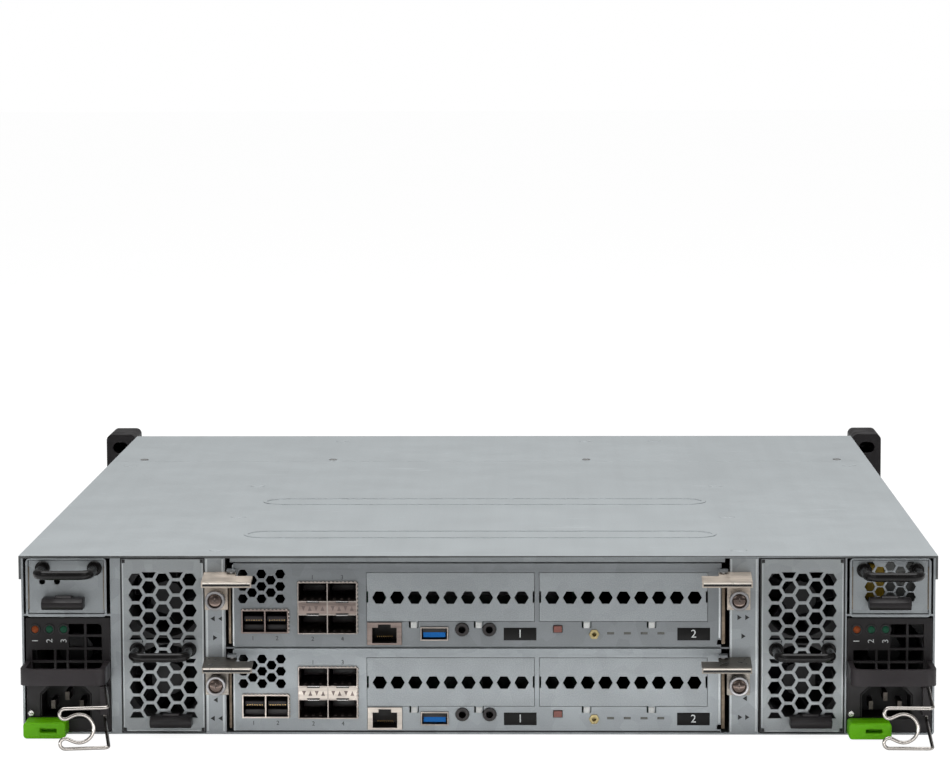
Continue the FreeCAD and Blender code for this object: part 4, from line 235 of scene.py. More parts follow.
MAT = {
    "rear": galvanised("rear_zinc", (0.295, 0.317, 0.33), spangle=0.08),
    "fan_plate": galvanised("fan_module_zinc", (0.3, 0.32, 0.328), spangle=0.07, edge=0.00045),
    # upper controller: the controller zinc darkened as painted shade, the lower one keeps the plain level
    "canister_upper": galvanised("upper_controller_zinc_painted_shade", (0.2, 0.215, 0.225), spangle=0.05),
    "canister_lower": galvanised("lower_controller_zinc", (0.3, 0.324, 0.338), spangle=0.05),
    "blank": galvanised("blank_zinc", (0.29, 0.312, 0.324), spangle=0.03, grain=0.09),
    # painted highlight: bright zinc for the lit folded edges
    "edge": galvanised("bend_painted_highlight", (0.56, 0.59, 0.6), spangle=0.05),
    # painted shade: darker copies of the cover's zinc for its rear-facing edge and lip
    "cover_edge_painted_shade": galvanised("cover_edge_painted_shade", (0.1, 0.105, 0.105), spangle=0.1),
    "cover_lip_painted_shade": galvanised("cover_lip_painted_shade", (0.26, 0.28, 0.29), spangle=0.06, grain=0.08),
    # painted shade for sheet faces behind the rear face
    "inner_painted_shade": galvanised("inner_zinc_painted_shade", (0.2, 0.205, 0.2), spangle=0.06),
    "cover": cover_sheet(),
    "black": moulded("black_moulding", (0.011, 0.009, 0.01), 0.42, dull=0.6),
    "band": moulded("handle_moulding", (0.021, 0.017, 0.019), 0.42, dull=0.6),
    "cup": moulded("inlet_moulding", (0.004, 0.0035, 0.0035), 0.4, dull=0.4),
    # painted shade: the recessed inlet blades darkened
    "pin": plated("blade_nickel_painted_shade", (0.07, 0.062, 0.055), 0.4, 0.2, 0.0),
    "rod": moulded("black_enamel", (0.004, 0.0035, 0.0035), 0.2, 0.05, 0.0, dull=0.5),
    "fan": moulded("fan_moulding", (0.018, 0.018, 0.02), 0.5),
    "fan_frame": moulded("fan_frame_moulding", (0.07, 0.07, 0.072), 0.5),
    "black_metal": moulded("black_coated_steel", (0.012, 0.012, 0.012), 0.45, 0.1, dull=0.6),
    "green": moulded("green_moulding", (0.115, 0.41, 0.001), 0.4, 0.15, 0.0007, dull=0.35),
    "red": moulded("button_moulding", (0.2, 0.07, 0.055), 0.5),
    "wire": plated("spring_wire", (0.4, 0.375, 0.35), 0.2, 0.05, 0.0),
    "nickel": plated("lever_nickel", (0.56, 0.49, 0.42), 0.42, 0.1, 0.0004, 0.6),
    "nickel_dark": plated("lever_nickel_shaded", (0.3, 0.275, 0.245), 0.34, 0.12, 0.0004),
    # painted highlight: the lit bands of the lever's rolled edge
    "hem": plated("lever_edge_painted_highlight", (0.88, 0.82, 0.74), 0.3, 0.05, 0.0001, 0.35),
    "screw": plated("screw_steel", (0.5, 0.49, 0.48), 0.24, 0.08, 0.0001),
    "knurl": plated("knurled_steel", (0.33, 0.325, 0.33), 0.4, 0.12, 0.0001),
    "core": plated("screw_core", (0.13, 0.1, 0.088), 0.16, 0.3, 0.0001),
    "port": plated("port_tin", (0.38, 0.34, 0.31), 0.36, 0.08, 0.0001),
    # copies of the port tin with painted light and with painted shade
    "port_lit": plated("port_tin_lit", (0.62, 0.56, 0.5), 0.4, 0.08, 0.0001, 0.6),
    # painted shade in port hollows, springs and screw slots, also used for printed arrows
    "port_dark": plated("port_painted_shade_and_print", (0.16, 0.13, 0.12), 0.4, 0.15, 0.0),
    "port_shaded": plated("port_tin_shaded", (0.26, 0.21, 0.19), 0.4, 0.12, 0.0001),
    "strip": plated("gasket_strip", (0.2, 0.16, 0.12), 0.45, 0.15, 0.0001),
    "gold": plated("contact_gold", (0.75, 0.5, 0.2), 0.25, 0.08, 0.0),
    "brass": plated("brass_nut", (0.4, 0.33, 0.17), 0.3, 0.1, 0.0001),
    "sink": plated("heat_sink_aluminium", (0.55, 0.56, 0.57), 0.4, 0.08, 0.0),
    # dark joints and print, also painted shade in gaps, notches and recesses
    "dark_joints_print_and_shade": moulded("dark_joint_print_and_painted_shade", (0.01, 0.01, 0.011), 0.6, 0.05, 0.0),
    "tape": moulded("winding_tape", (0.5, 0.32, 0.015), 0.45, 0.1, 0.0002),
    "port_black": moulded("port_liner", (0.012, 0.009, 0.009), 0.4, 0.1, 0.0001),
    "usb": moulded("usb_tongue", (0.0, 0.12, 0.42), 0.45, 0.05, 0.0001, dull=0.4),
    "pipe": moulded("light_pipe", (0.09, 0.09, 0.08), 0.3, 0.05, 0.0001),
    "clip": moulded("clip_plastic", (0.5, 0.51, 0.5), 0.35, 0.05, 0.0002),
    "plate": moulded("label_film", (0.003, 0.003, 0.003), 0.4, 0.05, 0.0001, dull=0.4),
    "board": solder_mask(),
    "ink": ink("printed_grey", (0.022, 0.023, 0.025)),
    "pale_ink": ink("printed_pale", (0.6, 0.62, 0.62)),
    "amber": lens("amber_lens", (0.16, 0.03, 0.003), 0.2),
    "lens": lens("green_lens", (0.002, 0.045, 0.022), 0.2),
}


# -------- solids of the frame


def islands(node):
    """Connected solids of a CAD node: face indexes with the low and high corner of each."""
    mesh = NODES[node].data
    keys = {}
    parent = []

    def root(item):
        while parent[item] != item:
            parent[item] = parent[parent[item]]
            item = parent[item]
        return item

    corner = []
    for vertex in mesh.vertices:
        key = tuple(round(value * 1e6) for value in vertex.co)
        if key not in keys:
            keys[key] = len(parent)
            parent.append(len(parent))
        corner.append(keys[key])
    for polygon in mesh.polygons:
        first = root(corner[polygon.vertices[0]])
        for vertex in polygon.vertices[1:]:
            parent[root(corner[vertex])] = first
    groups = {}
    for polygon in mesh.polygons:
        groups.setdefault(root(corner[polygon.vertices[0]]), []).append(polygon.index)
    found = []
    for faces in groups.values():
        points = [mesh.vertices[v].co for face in faces for v in mesh.polygons[face].vertices]
        low, high = (Vector([pick(values) for values in zip(*points)]) for pick in (min, max))
        found.append((faces, low, high))
    return sorted(found, key=lambda item: (round(item[1].x, 5), round(item[1].z, 5)))


def dress(node, *names):
    """Give a CAD node its materials, the first of them on every face."""
    mesh = NODES[node].data
    mesh.materials.clear()
    for name in names:
        mesh.materials.append(MAT[name])
    for polygon in mesh.polygons:
        polygon.material_index = 0


def paint(node, faces, name, test=None):
    """Give some faces of a dressed node one of its materials, or only those of them that pass a test."""
    mesh = NODES[node].data
    index = list(mesh.materials).index(MAT[name])
    for face in faces:
        polygon = mesh.polygons[face]
        if test is None or test(polygon):
            polygon.material_index = index


# -------- new pieces


class Piece:
    """A mesh gathered from simple forms and set on a body."""

    def __init__(self, name):
        self.name = name
        self.mesh = bmesh.new()
        self.materials = []

    def material(self, name):
        if name not in self.materials:
            self.materials.append(name)
        return self.materials.index(name)

    def take(self, verts, name, smooth):
        index = self.material(name)
        for face in {face for vert in verts for face in vert.link_faces}:
            face.material_index = index
            face.smooth = smooth

    def block(self, low, high, name, bevel=0.0, turn=None):
        """Box between two corners, bevelled or turned about its middle if asked."""
        low, high = Vector(low), Vector(high)
        place = Matrix.Translation((low + high) / 2)
        if turn:
            place = place @ turn
        place = place @ Matrix.Diagonal((*(high - low), 1))
        made = bmesh.ops.create_cube(self.mesh, size=1, matrix=place)["verts"]
        if bevel:
            edges = list({edge for vert in made for edge in vert.link_edges})
            result = bmesh.ops.bevel(self.mesh, geom=edges, offset=bevel, segments=3, profile=0.5,
                                     affect="EDGES")
            made = list({vert for face in result["faces"] for vert in face.verts})
        self.take(made, name, False)

    def brick(self, low, size, name, bevel=0.0, turn=None):
        """Box from its low corner and its size in millimetres."""
        self.block(low, low + Vector(size) * MM, name, bevel, turn)

    def lathe(self, outline, centre, name, axis="y", steps=32, ridges=0, ridge=0.0, caps=(True, True)):
        """Turn (along, radius) points in millimetres about an axis; ridges give a knurl."""
        rings = []
        for along, radius in outline:
            ring = []
            for step in range(steps):
                angle = 2 * math.pi * step / steps
                cut = ridge if ridges and radius > 0 and (step * ridges * 2 // steps) % 2 else 0
                reach = max(radius - cut, 0)
                a, b = reach * math.cos(angle), reach * math.sin(angle)
                offset = (a, along, b) if axis == "y" else (a, b, along)
                ring.append(self.mesh.verts.new(Vector(centre) + Vector(offset) * MM))
            rings.append(ring)
        faces = []
        for near, far in zip(rings, rings[1:]):
            for step in range(steps):
                after = (step + 1) % steps
                faces.append(self.mesh.faces.new((near[step], near[after], far[after], far[step])))
        for ring, closed in zip((rings[0], rings[-1]), caps):
            if closed:
                faces.append(self.mesh.faces.new(ring))
        index = self.material(name)
        for face in faces:
            face.material_index = index
            face.smooth = len(face.verts) == 4

    def mark(self, outline, ahead, name, corner=ORIGIN):
        """Printed mark from an outline of (x, z) points in millimetres."""
        near, far = [], []
        for x, z in outline:
            front = spot(x, z, ahead, corner)
            near.append(self.mesh.verts.new(front))
            far.append(self.mesh.verts.new(front + Vector((0, PRINT_DEPTH, 0))))
        faces = [self.mesh.faces.new(near), self.mesh.faces.new(far)]
        for index in range(len(near)):
            faces.append(self.mesh.faces.new((near[index - 1], near[index], far[index], far[index - 1])))
        index = self.material(name)
        for face in faces:
            face.material_index = index

    def join(self, obj, name):
        """Take the mesh of a curve or text object and delete that object."""
        bpy.context.view_layer.update()
        mesh = bpy.data.meshes.new_from_object(obj.evaluated_get(bpy.context.evaluated_depsgraph_get()))
        mesh.transform(obj.matrix_world)
        index = self.material(name)
        known = set(self.mesh.faces)
        self.mesh.from_mesh(mesh)
        for face in self.mesh.faces:
            if face not in known:
                face.material_index = index
                face.smooth = obj.type == "CURVE"
        data = obj.data
        bpy.data.objects.remove(obj)
        bpy.data.curves.remove(data)
        bpy.data.meshes.remove(mesh)
        return self

    def finish(self, body, slot, *replaced):
        bmesh.ops.recalc_face_normals(self.mesh, faces=self.mesh.faces)
        data = bpy.data.meshes.new(self.name)
        self.mesh.to_mesh(data)
        self.mesh.free()
        for name in self.materials:
            data.materials.append(MAT[name])
        data.set_sharp_from_angle(angle=SHARP_ANGLE)
        piece = bpy.data.objects.new(self.name, data)
        bpy.context.scene.collection.objects.link(piece)
        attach(piece, body)
        if replaced:
            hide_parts(*replaced)


def rod_curve(points, radius, sides=6):
    """Curve object of a smooth rod along the points."""
    data = bpy.data.curves.new("rod", "CURVE")
    data.dimensions = "3D"
    data.bevel_depth = radius
    data.bevel_resolution = sides
    data.use_fill_caps = True
    spline = data.splines.new("POLY")
    spline.points.add(len(points) - 1)
    for target, point in zip(spline.points, points):
        target.co = (*point, 1)
    rod = bpy.data.objects.new("rod", data)
    bpy.context.scene.collection.objects.link(rod)
    return rod


def text_object(words, size, place, turn=0.0):
    """Text facing the connector side, centred on its place and turned in that plane."""
    data = bpy.data.curves.new("figure", "FONT")
    data.body = words
    data.size = size
    data.align_x = "CENTER"
    data.align_y = "CENTER"
    data.extrude = FIGURE_DEPTH
    figure = bpy.data.objects.new("figure", data)
    upright = Euler((math.pi / 2, 0, 0)).to_matrix().to_4x4()
    figure.matrix_world = Matrix.Translation(place) @ upright @ Matrix.Rotation(turn, 4, "Z")
    bpy.context.scene.collection.objects.link(figure)
    return figure


def bend(before, at, after, radius):
    """Points of the arc that rounds a corner."""
    back, on = (before - at).normalized(), (after - at).normalized()
    half = back.angle(on) / 2
    centre = at + (back + on).normalized() * (radius / math.sin(half))
    start = at + back * (radius / math.tan(half)) - centre
    end = at + on * (radius / math.tan(half)) - centre
    turn = math.pi - 2 * half
    points = []
    for step in range(ARC_STEPS + 1):
        share = step / ARC_STEPS
        arm = start * math.sin(turn * (1 - share)) + end * math.sin(turn * share)
        points.append(centre + arm / math.sin(turn))
    return points


def rounded_route(points, radius):
    """Route through the points with every corner between its ends rounded."""
    route = [points[0]]
    for before, at, after in zip(points, points[1:], points[2:]):
        route += bend(before, at, after, radius)
    return route + [points[-1]]


# -------- places of the modules

SEAT = {row: Vector((0, 0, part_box(f"canister_{row}")[0].z)) for row in UPPER_LOWER}
PSU = {side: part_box(f"psu_{side}_case")[0] for side in LEFT_RIGHT}
FAN = {side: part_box(f"fan_module_{side}")[0] for side in LEFT_RIGHT}
SMALL = {side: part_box(f"small_module_{side}")[0] for side in LEFT_RIGHT}
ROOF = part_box("top_cover")[1].z


# -------- finishes of the CAD nodes


def dress_sheet(node, outside, *more, lids=False):
    """Sheet node: its own zinc at the rear face, and on its top and underside if asked, and painted shade on
    the faces behind it.
    """
    dress(node, outside, "inner_painted_shade", *more)
    faces = range(len(NODES[node].data.polygons))
    paint(node, faces, "inner_painted_shade", lambda polygon: polygon.center.y > FACE + UNSHADED_DEPTH)
    if lids:
        low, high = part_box(node)
        near = 0.1 * MM
        paint(node, faces, outside, lambda polygon: abs(polygon.normal.z) > 0.9
              and (polygon.center.z > high.z - near or polygon.center.z < low.z + near))


def dress_frame():
    """Base, roof, bay frame, ears, cage and midplane."""
    for node, name in (("chassis_base", "rear"), ("front_roof_panel", "cover"), ("drive_cage", "rear"),
                       ("rack_ears", "black"), ("cover_screws", "screw")):
        dress(node, name)
    dress("top_cover", "cover", "cover_edge_painted_shade", "cover_lip_painted_shade")
    # the cover's rear-facing faces get painted shade, darkest beyond the lip
    lip = 121 * MM
    for name, inside in (("cover_edge_painted_shade", False), ("cover_lip_painted_shade", True)):
        paint("top_cover", range(len(NODES["top_cover"].data.polygons)), name,
              lambda polygon: polygon.normal.y < -0.7 and polygon.center.y < FACE + 3 * MM
              and (abs(polygon.center.x) < lip and polygon.center.z < ROOF - 1.0 * MM) == inside)
    dress_sheet("rear_bay_frame", "rear")
    dress("midplane_board", "board", "port_black")
    connector_wide = 0.2
    for faces, low, high in islands("midplane_board"):
        if high.x - low.x < connector_wide:
            paint("midplane_board", faces, "port_black")


def dress_controller(row):
    """Controller's plate with its blanks and screws, its button, board and ports."""
    node = f"canister_{row}"
    dress_sheet(node, node, "blank", "screw", lids=True)
    screw_wide, blank_wide = 0.004, 0.1
    for faces, low, high in islands(node):
        if high.x - low.x < screw_wide:
            paint(node, faces, "screw")
        elif high.x - low.x < blank_wide:
            paint(node, faces, "blank")
    dress(f"mute_button_{row}", "red")
    board = f"board_{row}"
    dress(board, "board", "sink", "port_black")
    chip_wide, sink_wide, low_part = 0.07, 0.1, 0.02
    for faces, low, high in islands(board):
        wide = high.x - low.x
        if chip_wide < wide < sink_wide:
            paint(board, faces, "sink")
        elif wide < chip_wide and high.z - low.z < low_part:
            paint(board, faces, "port_black")
    dress_ports(f"ports_{row}", "port_lit" if row == "lower" else "port_shaded")


def dress_ports(node, network):
    """Ports told apart by their width and height, the network port with a copy of the tin that has painted
    light on the lower row and painted shade on the upper.
    """
    dress(node, "port", "port_dark", "port_black", "usb", "brass", "pipe", network)
    for faces, low, high in islands(node):
        wide, tall = high.x - low.x, high.z - low.z
        inside = low.y + 0.6 * MM
        if wide < 5 * MM and tall < 2 * MM:
            paint(node, faces, "pipe")
        elif wide < 5.5 * MM:
            paint(node, faces, "brass")
        elif wide < 7 * MM:
            paint(node, faces, "port_black")
        elif wide < 12.2 * MM and tall < 5 * MM:
            paint(node, faces, "usb")
        else:
            # faces deep inside the cages get painted shade, while the network port gets its black liner
            liner_and_shade = "port_dark" if 25 * MM < wide or wide < 14 * MM else "port_black"
            if 14 * MM < wide < 25 * MM:
                paint(node, faces, network)
            paint(node, faces, liner_and_shade, lambda polygon: polygon.center.y > inside)


def dress_psu(side):
    """Supply's case, bezel with band and lights, inlet, tab and rotor."""
    case, bezel, inlet = (f"psu_{side}_{part}" for part in ("case", "bezel", "inlet"))
    dress(case, "black_metal", "fan_frame", "board")
    guard_deep, board_start, wide, screw_rise = 0.05, 0.05, 0.02, 0.02
    for faces, low, high in islands(case):
        if high.y - low.y < guard_deep:
            paint(case, faces, "fan_frame")
        elif low.y > FACE + board_start:
            paint(case, faces, "board")
    dress(bezel, "black", "band", "screw", "amber", "lens")
    for faces, low, high in islands(bezel):
        if high.x - low.x > wide:
            paint(bezel, faces, "band", lambda polygon: polygon.center.y < FACE - 1 * MM)
        elif low.z < PSU[side].z + screw_rise:
            paint(bezel, faces, "screw")
        else:
            paint(bezel, faces, "amber" if low.x < PSU[side].x + 4 * MM else "lens")
    dress(inlet, "cup", "pin")
    for faces, low, high in islands(inlet):
        if high.x - low.x < 3 * MM:
            paint(inlet, faces, "pin")
    dress(f"psu_{side}_tab", "green")
    dress(f"psu_rotor_{side}", "fan")


def dress_fans(side):
    """Fan module's plate, handle, fan frames, plug, latch and rotors."""
    node = f"fan_module_{side}"
    dress_sheet(node, "fan_plate", "rod", "fan_frame", "black", lids=True)
    plate_tall, frame_wide = 0.05, 0.03
    for faces, low, high in islands(node):
        if high.z - low.z > plate_tall:
            continue
        if high.y < FACE + 1 * MM:
            paint(node, faces, "rod")
        elif high.x - low.x > frame_wide:
            paint(node, faces, "fan_frame")
        else:
            paint(node, faces, "black")
    dress(f"fan_latch_{side}", "black")
    for step in (1, 2):
        dress(f"fan_rotor_{side}_{step}", "fan")


def dress_small(side):
    """Small module's sheet, handle, board and latch."""
    node = f"small_module_{side}"
    dress_sheet(node, "rear", "rod", "board", lids=True)
    for faces, low, high in islands(node):
        if high.y < FACE + 1 * MM:
            paint(node, faces, "rod")
        elif low.y > FACE + 10 * MM:
            paint(node, faces, "board")
    dress(f"small_latch_{side}", "black")


def dress_trays():
    """Drive trays: metal drive, dark bezel parts and pale buttons."""
    drive_deep, bezel_deep, button_wide = (0.1, 0.15), 0.02, 0.015
    for number in range(1, 13):
        node = f"drive_tray_{number:02d}"
        dress(node, "black", "sink", "band", "clip")
        for faces, low, high in islands(node):
            deep = high.y - low.y
            if drive_deep[0] < deep < drive_deep[1]:
                paint(node, faces, "sink")
            elif deep < bezel_deep:
                paint(node, faces, "clip" if high.x - low.x < button_wide else "band")


# -------- smooth wires and knobs


def wire_bail(side):
    """Spring wire that holds the mains plug, smooth over the faceted solid."""
    turn = {"left": 9.5, "right": -2.0}[side]
    hinge_across, hinge_ahead, radius = 38.4, 2.6, 0.85 * MM
    top, low, drop, corner, hook, saddle, foot = 25.1, 6.8, 4.6, 2.4, 2.5, 6.9, 4.5
    hook_steps, saddle_steps = 16, 20
    long, reach, rise, heading = 45.0, 20.6, 9.7, math.radians(26)
    middle, leg_rise = (top + low) / 2 - drop, (top - low) / 2
    hook_z = rise - hook
    shift = (hook + saddle - hook_z * math.cos(heading)) / math.sin(heading)
    centre_x = shift - reach

    def half(sign):
        hinge_z = (top + low) / 2
        points = [Vector((0, 0, hinge_z + (leg_rise - foot) * sign)),
                  Vector((0, 0, hinge_z + leg_rise * sign)),
                  Vector((0, -long, middle + rise * sign)),
                  Vector((-reach, -long, middle + rise * sign))]
        route = rounded_route(points, corner)
        for step in range(1, hook_steps + 1):
            angle = (math.pi + heading) * step / hook_steps
            route.append(Vector((-reach - hook * math.sin(angle), -long,
                                 middle + (hook_z + hook * math.cos(angle)) * sign)))
        return route

    route = half(1)
    start, end = math.pi / 2 + heading, -math.pi / 2 - heading
    for step in range(saddle_steps + 1):
        angle = start + (end - start) * step / saddle_steps
        route.append(Vector((centre_x + saddle * math.cos(angle), -long, middle + saddle * math.sin(angle))))
    route += half(-1)[::-1]
    place = Matrix.Translation(spot(hinge_across, 0, hinge_ahead, PSU[side]))
    place = place @ Matrix.Rotation(math.radians(turn), 4, "Z") @ Matrix.Scale(MM, 4)
    points = [place @ point for point in route]
    body = f"cord_bail_{side}"
    piece = Piece(f"wire_bail_{side}").join(rod_curve(points, radius), "wire")
    piece.finish(body, "bright_wire", body)


def pull_handle(name, body, x, z):
    """Enamelled rod over the faceted handle, with turned collars."""
    span, reach, radius, corner = 12.7 * MM, 22.75 * MM, 2.25 * MM, 5.2 * MM
    points = [Vector((x - span, FACE, z)), Vector((x - span, FACE - reach, z)),
              Vector((x + span, FACE - reach, z)), Vector((x + span, FACE, z))]
    piece = Piece(name).join(rod_curve(rounded_route(points, corner), radius * 1.01, 8), "rod")
    collar = [(0, 3.65), (-1.3, 3.65), (-1.65, 3.3), (-1.65, 2.2)]
    for foot in (x - span, x + span):
        piece.lathe(collar, (foot, FACE, z), "rod")
    piece.finish(body, "sheet_steel")


def thumbscrew(row, side):
    """Knurled captive screw, its recessed cross drawn as painted shade."""
    body = f"thumbscrew_{row}_{side}"
    low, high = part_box(body)
    centre = Vector(((low.x + high.x) / 2, low.y, (low.z + high.z) / 2))
    long, back = 4.0, (high.y - low.y) / MM
    piece = Piece(f"knob_{row}_{side}")
    rim = [(0.85, 3.4), (0.3, 3.45), (0, 3.7), (0, 4.6)]
    piece.lathe(rim, centre, "knurl", steps=48, caps=(False, False))
    grip = [(0.0, 4.6), (0.3, 4.9), (long - 0.3, 4.9), (long, 4.6), (long, 1.7), (back, 1.7)]
    piece.lathe(grip, centre, "knurl", steps=96, ridges=24, ridge=0.14, caps=(False, True))
    driver = [(0.9, 3.42), (0.7, 2.9), (0.45, 2.5), (0.4, 0.4)]
    piece.lathe(driver, centre, "core", steps=48, caps=(False, True))
    # painted shade in the recessed cross
    for wide, tall in ((3.0, 0.55), (0.55, 3.0)):
        corner = centre + Vector((-wide / 2, 0.32, -tall / 2)) * MM
        piece.brick(corner, (wide, 0.15, tall), "port_dark")
    piece.finish(body, "screw_steel", body)


def softened(node, slot, material, width):
    """Copy of a moulded node with rounded edges, shown in its place."""
    weld, flat, crease = 2e-6, math.radians(1), math.radians(20)
    solid = bmesh.new()
    solid.from_mesh(NODES[node].data)
    bmesh.ops.remove_doubles(solid, verts=solid.verts, dist=weld)
    bmesh.ops.dissolve_limit(solid, angle_limit=flat, verts=solid.verts, edges=solid.edges)
    sharp = [edge for edge in solid.edges if edge.is_manifold and edge.calc_face_angle(0) > crease]
    bmesh.ops.bevel(solid, geom=sharp, offset=width, segments=3, profile=0.5, affect="EDGES",
                    clamp_overlap=True)
    piece = Piece(f"{node}_moulding")
    piece.mesh.free()
    piece.mesh = solid
    piece.material(material)
    for face in solid.faces:
        face.material_index = 0
        face.smooth = True
    piece.finish(node, slot, node)


# -------- power supplies


def status_lights(side):
    """Three status lights in their wells, and the bezel's small screw."""
    piece = Piece(f"status_lights_{side}")
    light = [(0, 1.75), (-0.2, 1.7), (-0.45, 1.3), (-0.55, 0.5)]
    well = [(0, 1.8), (-0.35, 2.0), (-0.35, 2.55), (0, 2.75)]
    for step, name in enumerate(("amber", "lens", "lens")):
        centre = spot(FIRST_LIGHT + LIGHT_PITCH * step, 50.6, 0.25, PSU[side])
        piece.lathe(light, centre, name, steps=24)
        piece.lathe(well, centre, "dark_joints_print_and_shade", steps=24, caps=(False, False))
    piece.finish(f"psu_{side}", "black_plastic")
    screw = Piece(f"bezel_screw_{side}")
    head = [(0, 1.55), (-0.75, 1.5), (-1.0, 1.2), (-1.0, 0.2)]
    centre = spot(2.1, 9.1, 0, PSU[side])
    screw.lathe(head, centre, "screw", steps=24)
    # painted shade in the screw's slot
    screw.brick(centre + Vector((-1.0, -1.05, -0.15)) * MM, (2.0, 0.15, 0.3), "port_dark")
    screw.finish(f"psu_{side}", "screw_steel")


def psu_marks(side):
    """Plain numbers, turned on their side, under the three status lights."""
    piece = Piece(f"psu_marks_{side}")
    for step in range(3):
        place = spot(FIRST_LIGHT + LIGHT_PITCH * step, 44.9, 0.05, PSU[side])
        piece.join(text_object(str(step + 1), 4.2 * MM, place, turn=math.pi / 2), "pale_ink")
    piece.finish(f"psu_{side}", "black_plastic")


# -------- controllers


def label_plates(row):
    """Black slot plates with plain numbers, and small port numbers."""
    seat = SEAT[row]
    piece = Piece(f"slot_plates_{row}")
    wide, tall = 15.9, 6.2
    for number, left in ((1, 12.9), (2, 97.3)):
        piece.brick(spot(left, 3.3, 0.15, seat), (wide, 0.15, tall), "plate", 0.05 * MM)
        centre = spot(left + wide / 2, 3.3 + tall / 2, 0.16, seat)
        piece.join(text_object(str(number), 5.6 * MM, centre), "pale_ink")
    piece.finish(f"controller_{row}", "sheet_steel")
    figures = Piece(f"port_numbers_{row}")
    for words, x, z in (("1", -109.4, 4.2), ("2", -97.6, 4.2), ("1", -80.2, 34.2), ("3", -65.7, 34.2),
                        ("2", -80.2, 3.9), ("4", -65.7, 3.9)):
        figures.join(text_object(words, 3.0 * MM, spot(x, z, 0.03, seat)), "ink")
    figures.finish(f"controller_{row}", "sheet_steel")


def gasket_fingers(row):
    """Small spring fingers along the top and the right side of the two cages."""
    piece = Piece(f"gasket_fingers_{row}")
    pitch, margin, rise = 1.9, 1.0, 0.15
    for left, wide, base, tall in ((-115.0, 23.1, 6.7, 11.7), (-87.5, 29.1, 6.4, 25.6)):
        for length, on_top in ((wide, True), (tall, False)):
            count = int(length / pitch)
            for step in range(count):
                along = margin + (length - 2 * margin) * step / (count - 1)
                x, z = (left + along, base + tall + rise) if on_top else (left + wide + rise, base + along)
                half_x, half_z = (0.5, 0.35) if on_top else (0.35, 0.5)
                corner = spot(x - half_x, z - half_z, 1.2, SEAT[row])
                piece.brick(corner, (2 * half_x, 1.2, 2 * half_z), "port", 0.12 * MM)
    piece.finish(f"controller_{row}", "port_metal")


def expansion_tongues(row):
    """Contact blocks inside the two expansion ports."""
    seat = SEAT[row]
    piece = Piece(f"expansion_tongues_{row}")
    for middle in (-109.05, -97.85):
        piece.brick(spot(middle - 4.6, 12.4, -1.0, seat), (9.2, 12.0, 2.6), "band", 0.3 * MM)
        piece.brick(spot(middle - 4.9, 7.6, -3.0, seat), (9.8, 10.0, 3.0), "port_black", 0.3 * MM)
        for step in range(7):
            piece.brick(spot(middle - 3.6 + 1.2 * step, 12.9, -0.9, seat), (0.45, 3.0, 0.3), "gold")
    piece.finish(f"controller_{row}", "port_metal")


def optical_strips(row):
    """Strip between the optical ports with arrow marks, latch lips and spring contacts."""
    seat = SEAT[row]
    piece = Piece(f"optical_strips_{row}")
    # the strip has painted light on the lower row and painted shade on the upper
    strip = "port_lit" if row == "lower" else "port_shaded"
    cage_left, cage_low, wall, port_wide, port_tall, tall = -87.5, 6.4, 0.5, 13.8, 8.8, 7.0
    low = cage_low + wall + port_tall
    for column in range(2):
        left = cage_left + wall + (port_wide + wall) * column
        piece.brick(spot(left + 0.1, low + 0.6, 0.95, seat), (13.6, 0.15, tall - 1.2), strip, 0.05 * MM)
        for step in range(4):
            middle = left + 2.4 + 3.1 * step
            base, tip = (low + 2.2, low + 4.6) if step % 2 else (low + 4.6, low + 2.2)
            arrow = [(middle - 0.95, base), (middle + 0.95, base), (middle, tip)]
            piece.mark(arrow, 0.98, "port_dark", seat)
        for lip, notch in ((low - 0.1, low + 0.45), (low + tall - 0.35, low + tall - 0.9)):
            piece.brick(spot(left + 4.2, lip, 1.5, seat), (5.6, 0.9, 0.45), "screw", 0.1 * MM)
            # painted shade in the notch beside each latch lip
            piece.brick(spot(left + 3.9, notch, 1.1, seat), (6.2, 0.3, 0.55), "dark_joints_print_and_shade")
        for mouth in (cage_low + wall, low + tall):
            for step in range(3):
                # the springs inside the cage mouths take the tin's painted shade
                spring = spot(left + 2.4 + 3.6 * step, mouth + 0.5, -1.5, seat)
                piece.brick(spring, (1.3, 6.0, 0.25), "port_dark", 0.05 * MM)
            back = spot(left + 1.2, mouth + 2.4, -16, seat)
            piece.brick(back, (11.2, 3.0, 3.2), "port_black", 0.2 * MM)
    piece.finish(f"controller_{row}", "port_metal")


def network_contacts(row):
    """Eight gold contacts in the network port, and painted shade in the gap over the USB tongue."""
    seat = SEAT[row]
    piece = Piece(f"network_contacts_{row}")
    slope = Matrix.Rotation(math.radians(-18), 4, "X")
    port_middle, usb_left, usb_low = -45.2, -27.7, 3.2
    for step in range(8):
        corner = spot(port_middle - 3.77 + 1.02 * step, 3.4, -2.5, seat)
        piece.brick(corner, (0.4, 8.0, 0.35), "gold", turn=slope)
    # painted shade in the gap over the USB tongue
    piece.brick(spot(usb_left + 1.2, usb_low + 4.1, 0.15, seat), (11.2, 0.4, 1.9), "dark_joints_print_and_shade")
    piece.finish(f"controller_{row}", "port_metal")


def side_strips(row):
    """Brown spring strips on the controller's two sides, seen in the gap to the screw columns."""
    piece = Piece(f"side_strips_{row}")
    for start, end in ((-121.2, -120.0), (118.8, 120.5)):
        piece.brick(spot(start, 1.5, -0.5, SEAT[row]), (end - start, 4.5, 33.0), "strip", 0.15 * MM)
    piece.finish(f"controller_{row}", "sheet_steel")


def slot_clips(row):
    """Pale plastic clips that hold the slot blanks."""
    piece = Piece(f"slot_clips_{row}")
    for left in (-54.0, 30.1):
        for step in range(2):
            middle = left + 23.1 + 31.6 * step
            piece.brick(spot(middle - 1.45, 9.4, 0.7, SEAT[row]), (2.9, 0.75, 2.9), "clip", 0.3 * MM)
    piece.finish(f"controller_{row}", "sheet_steel")


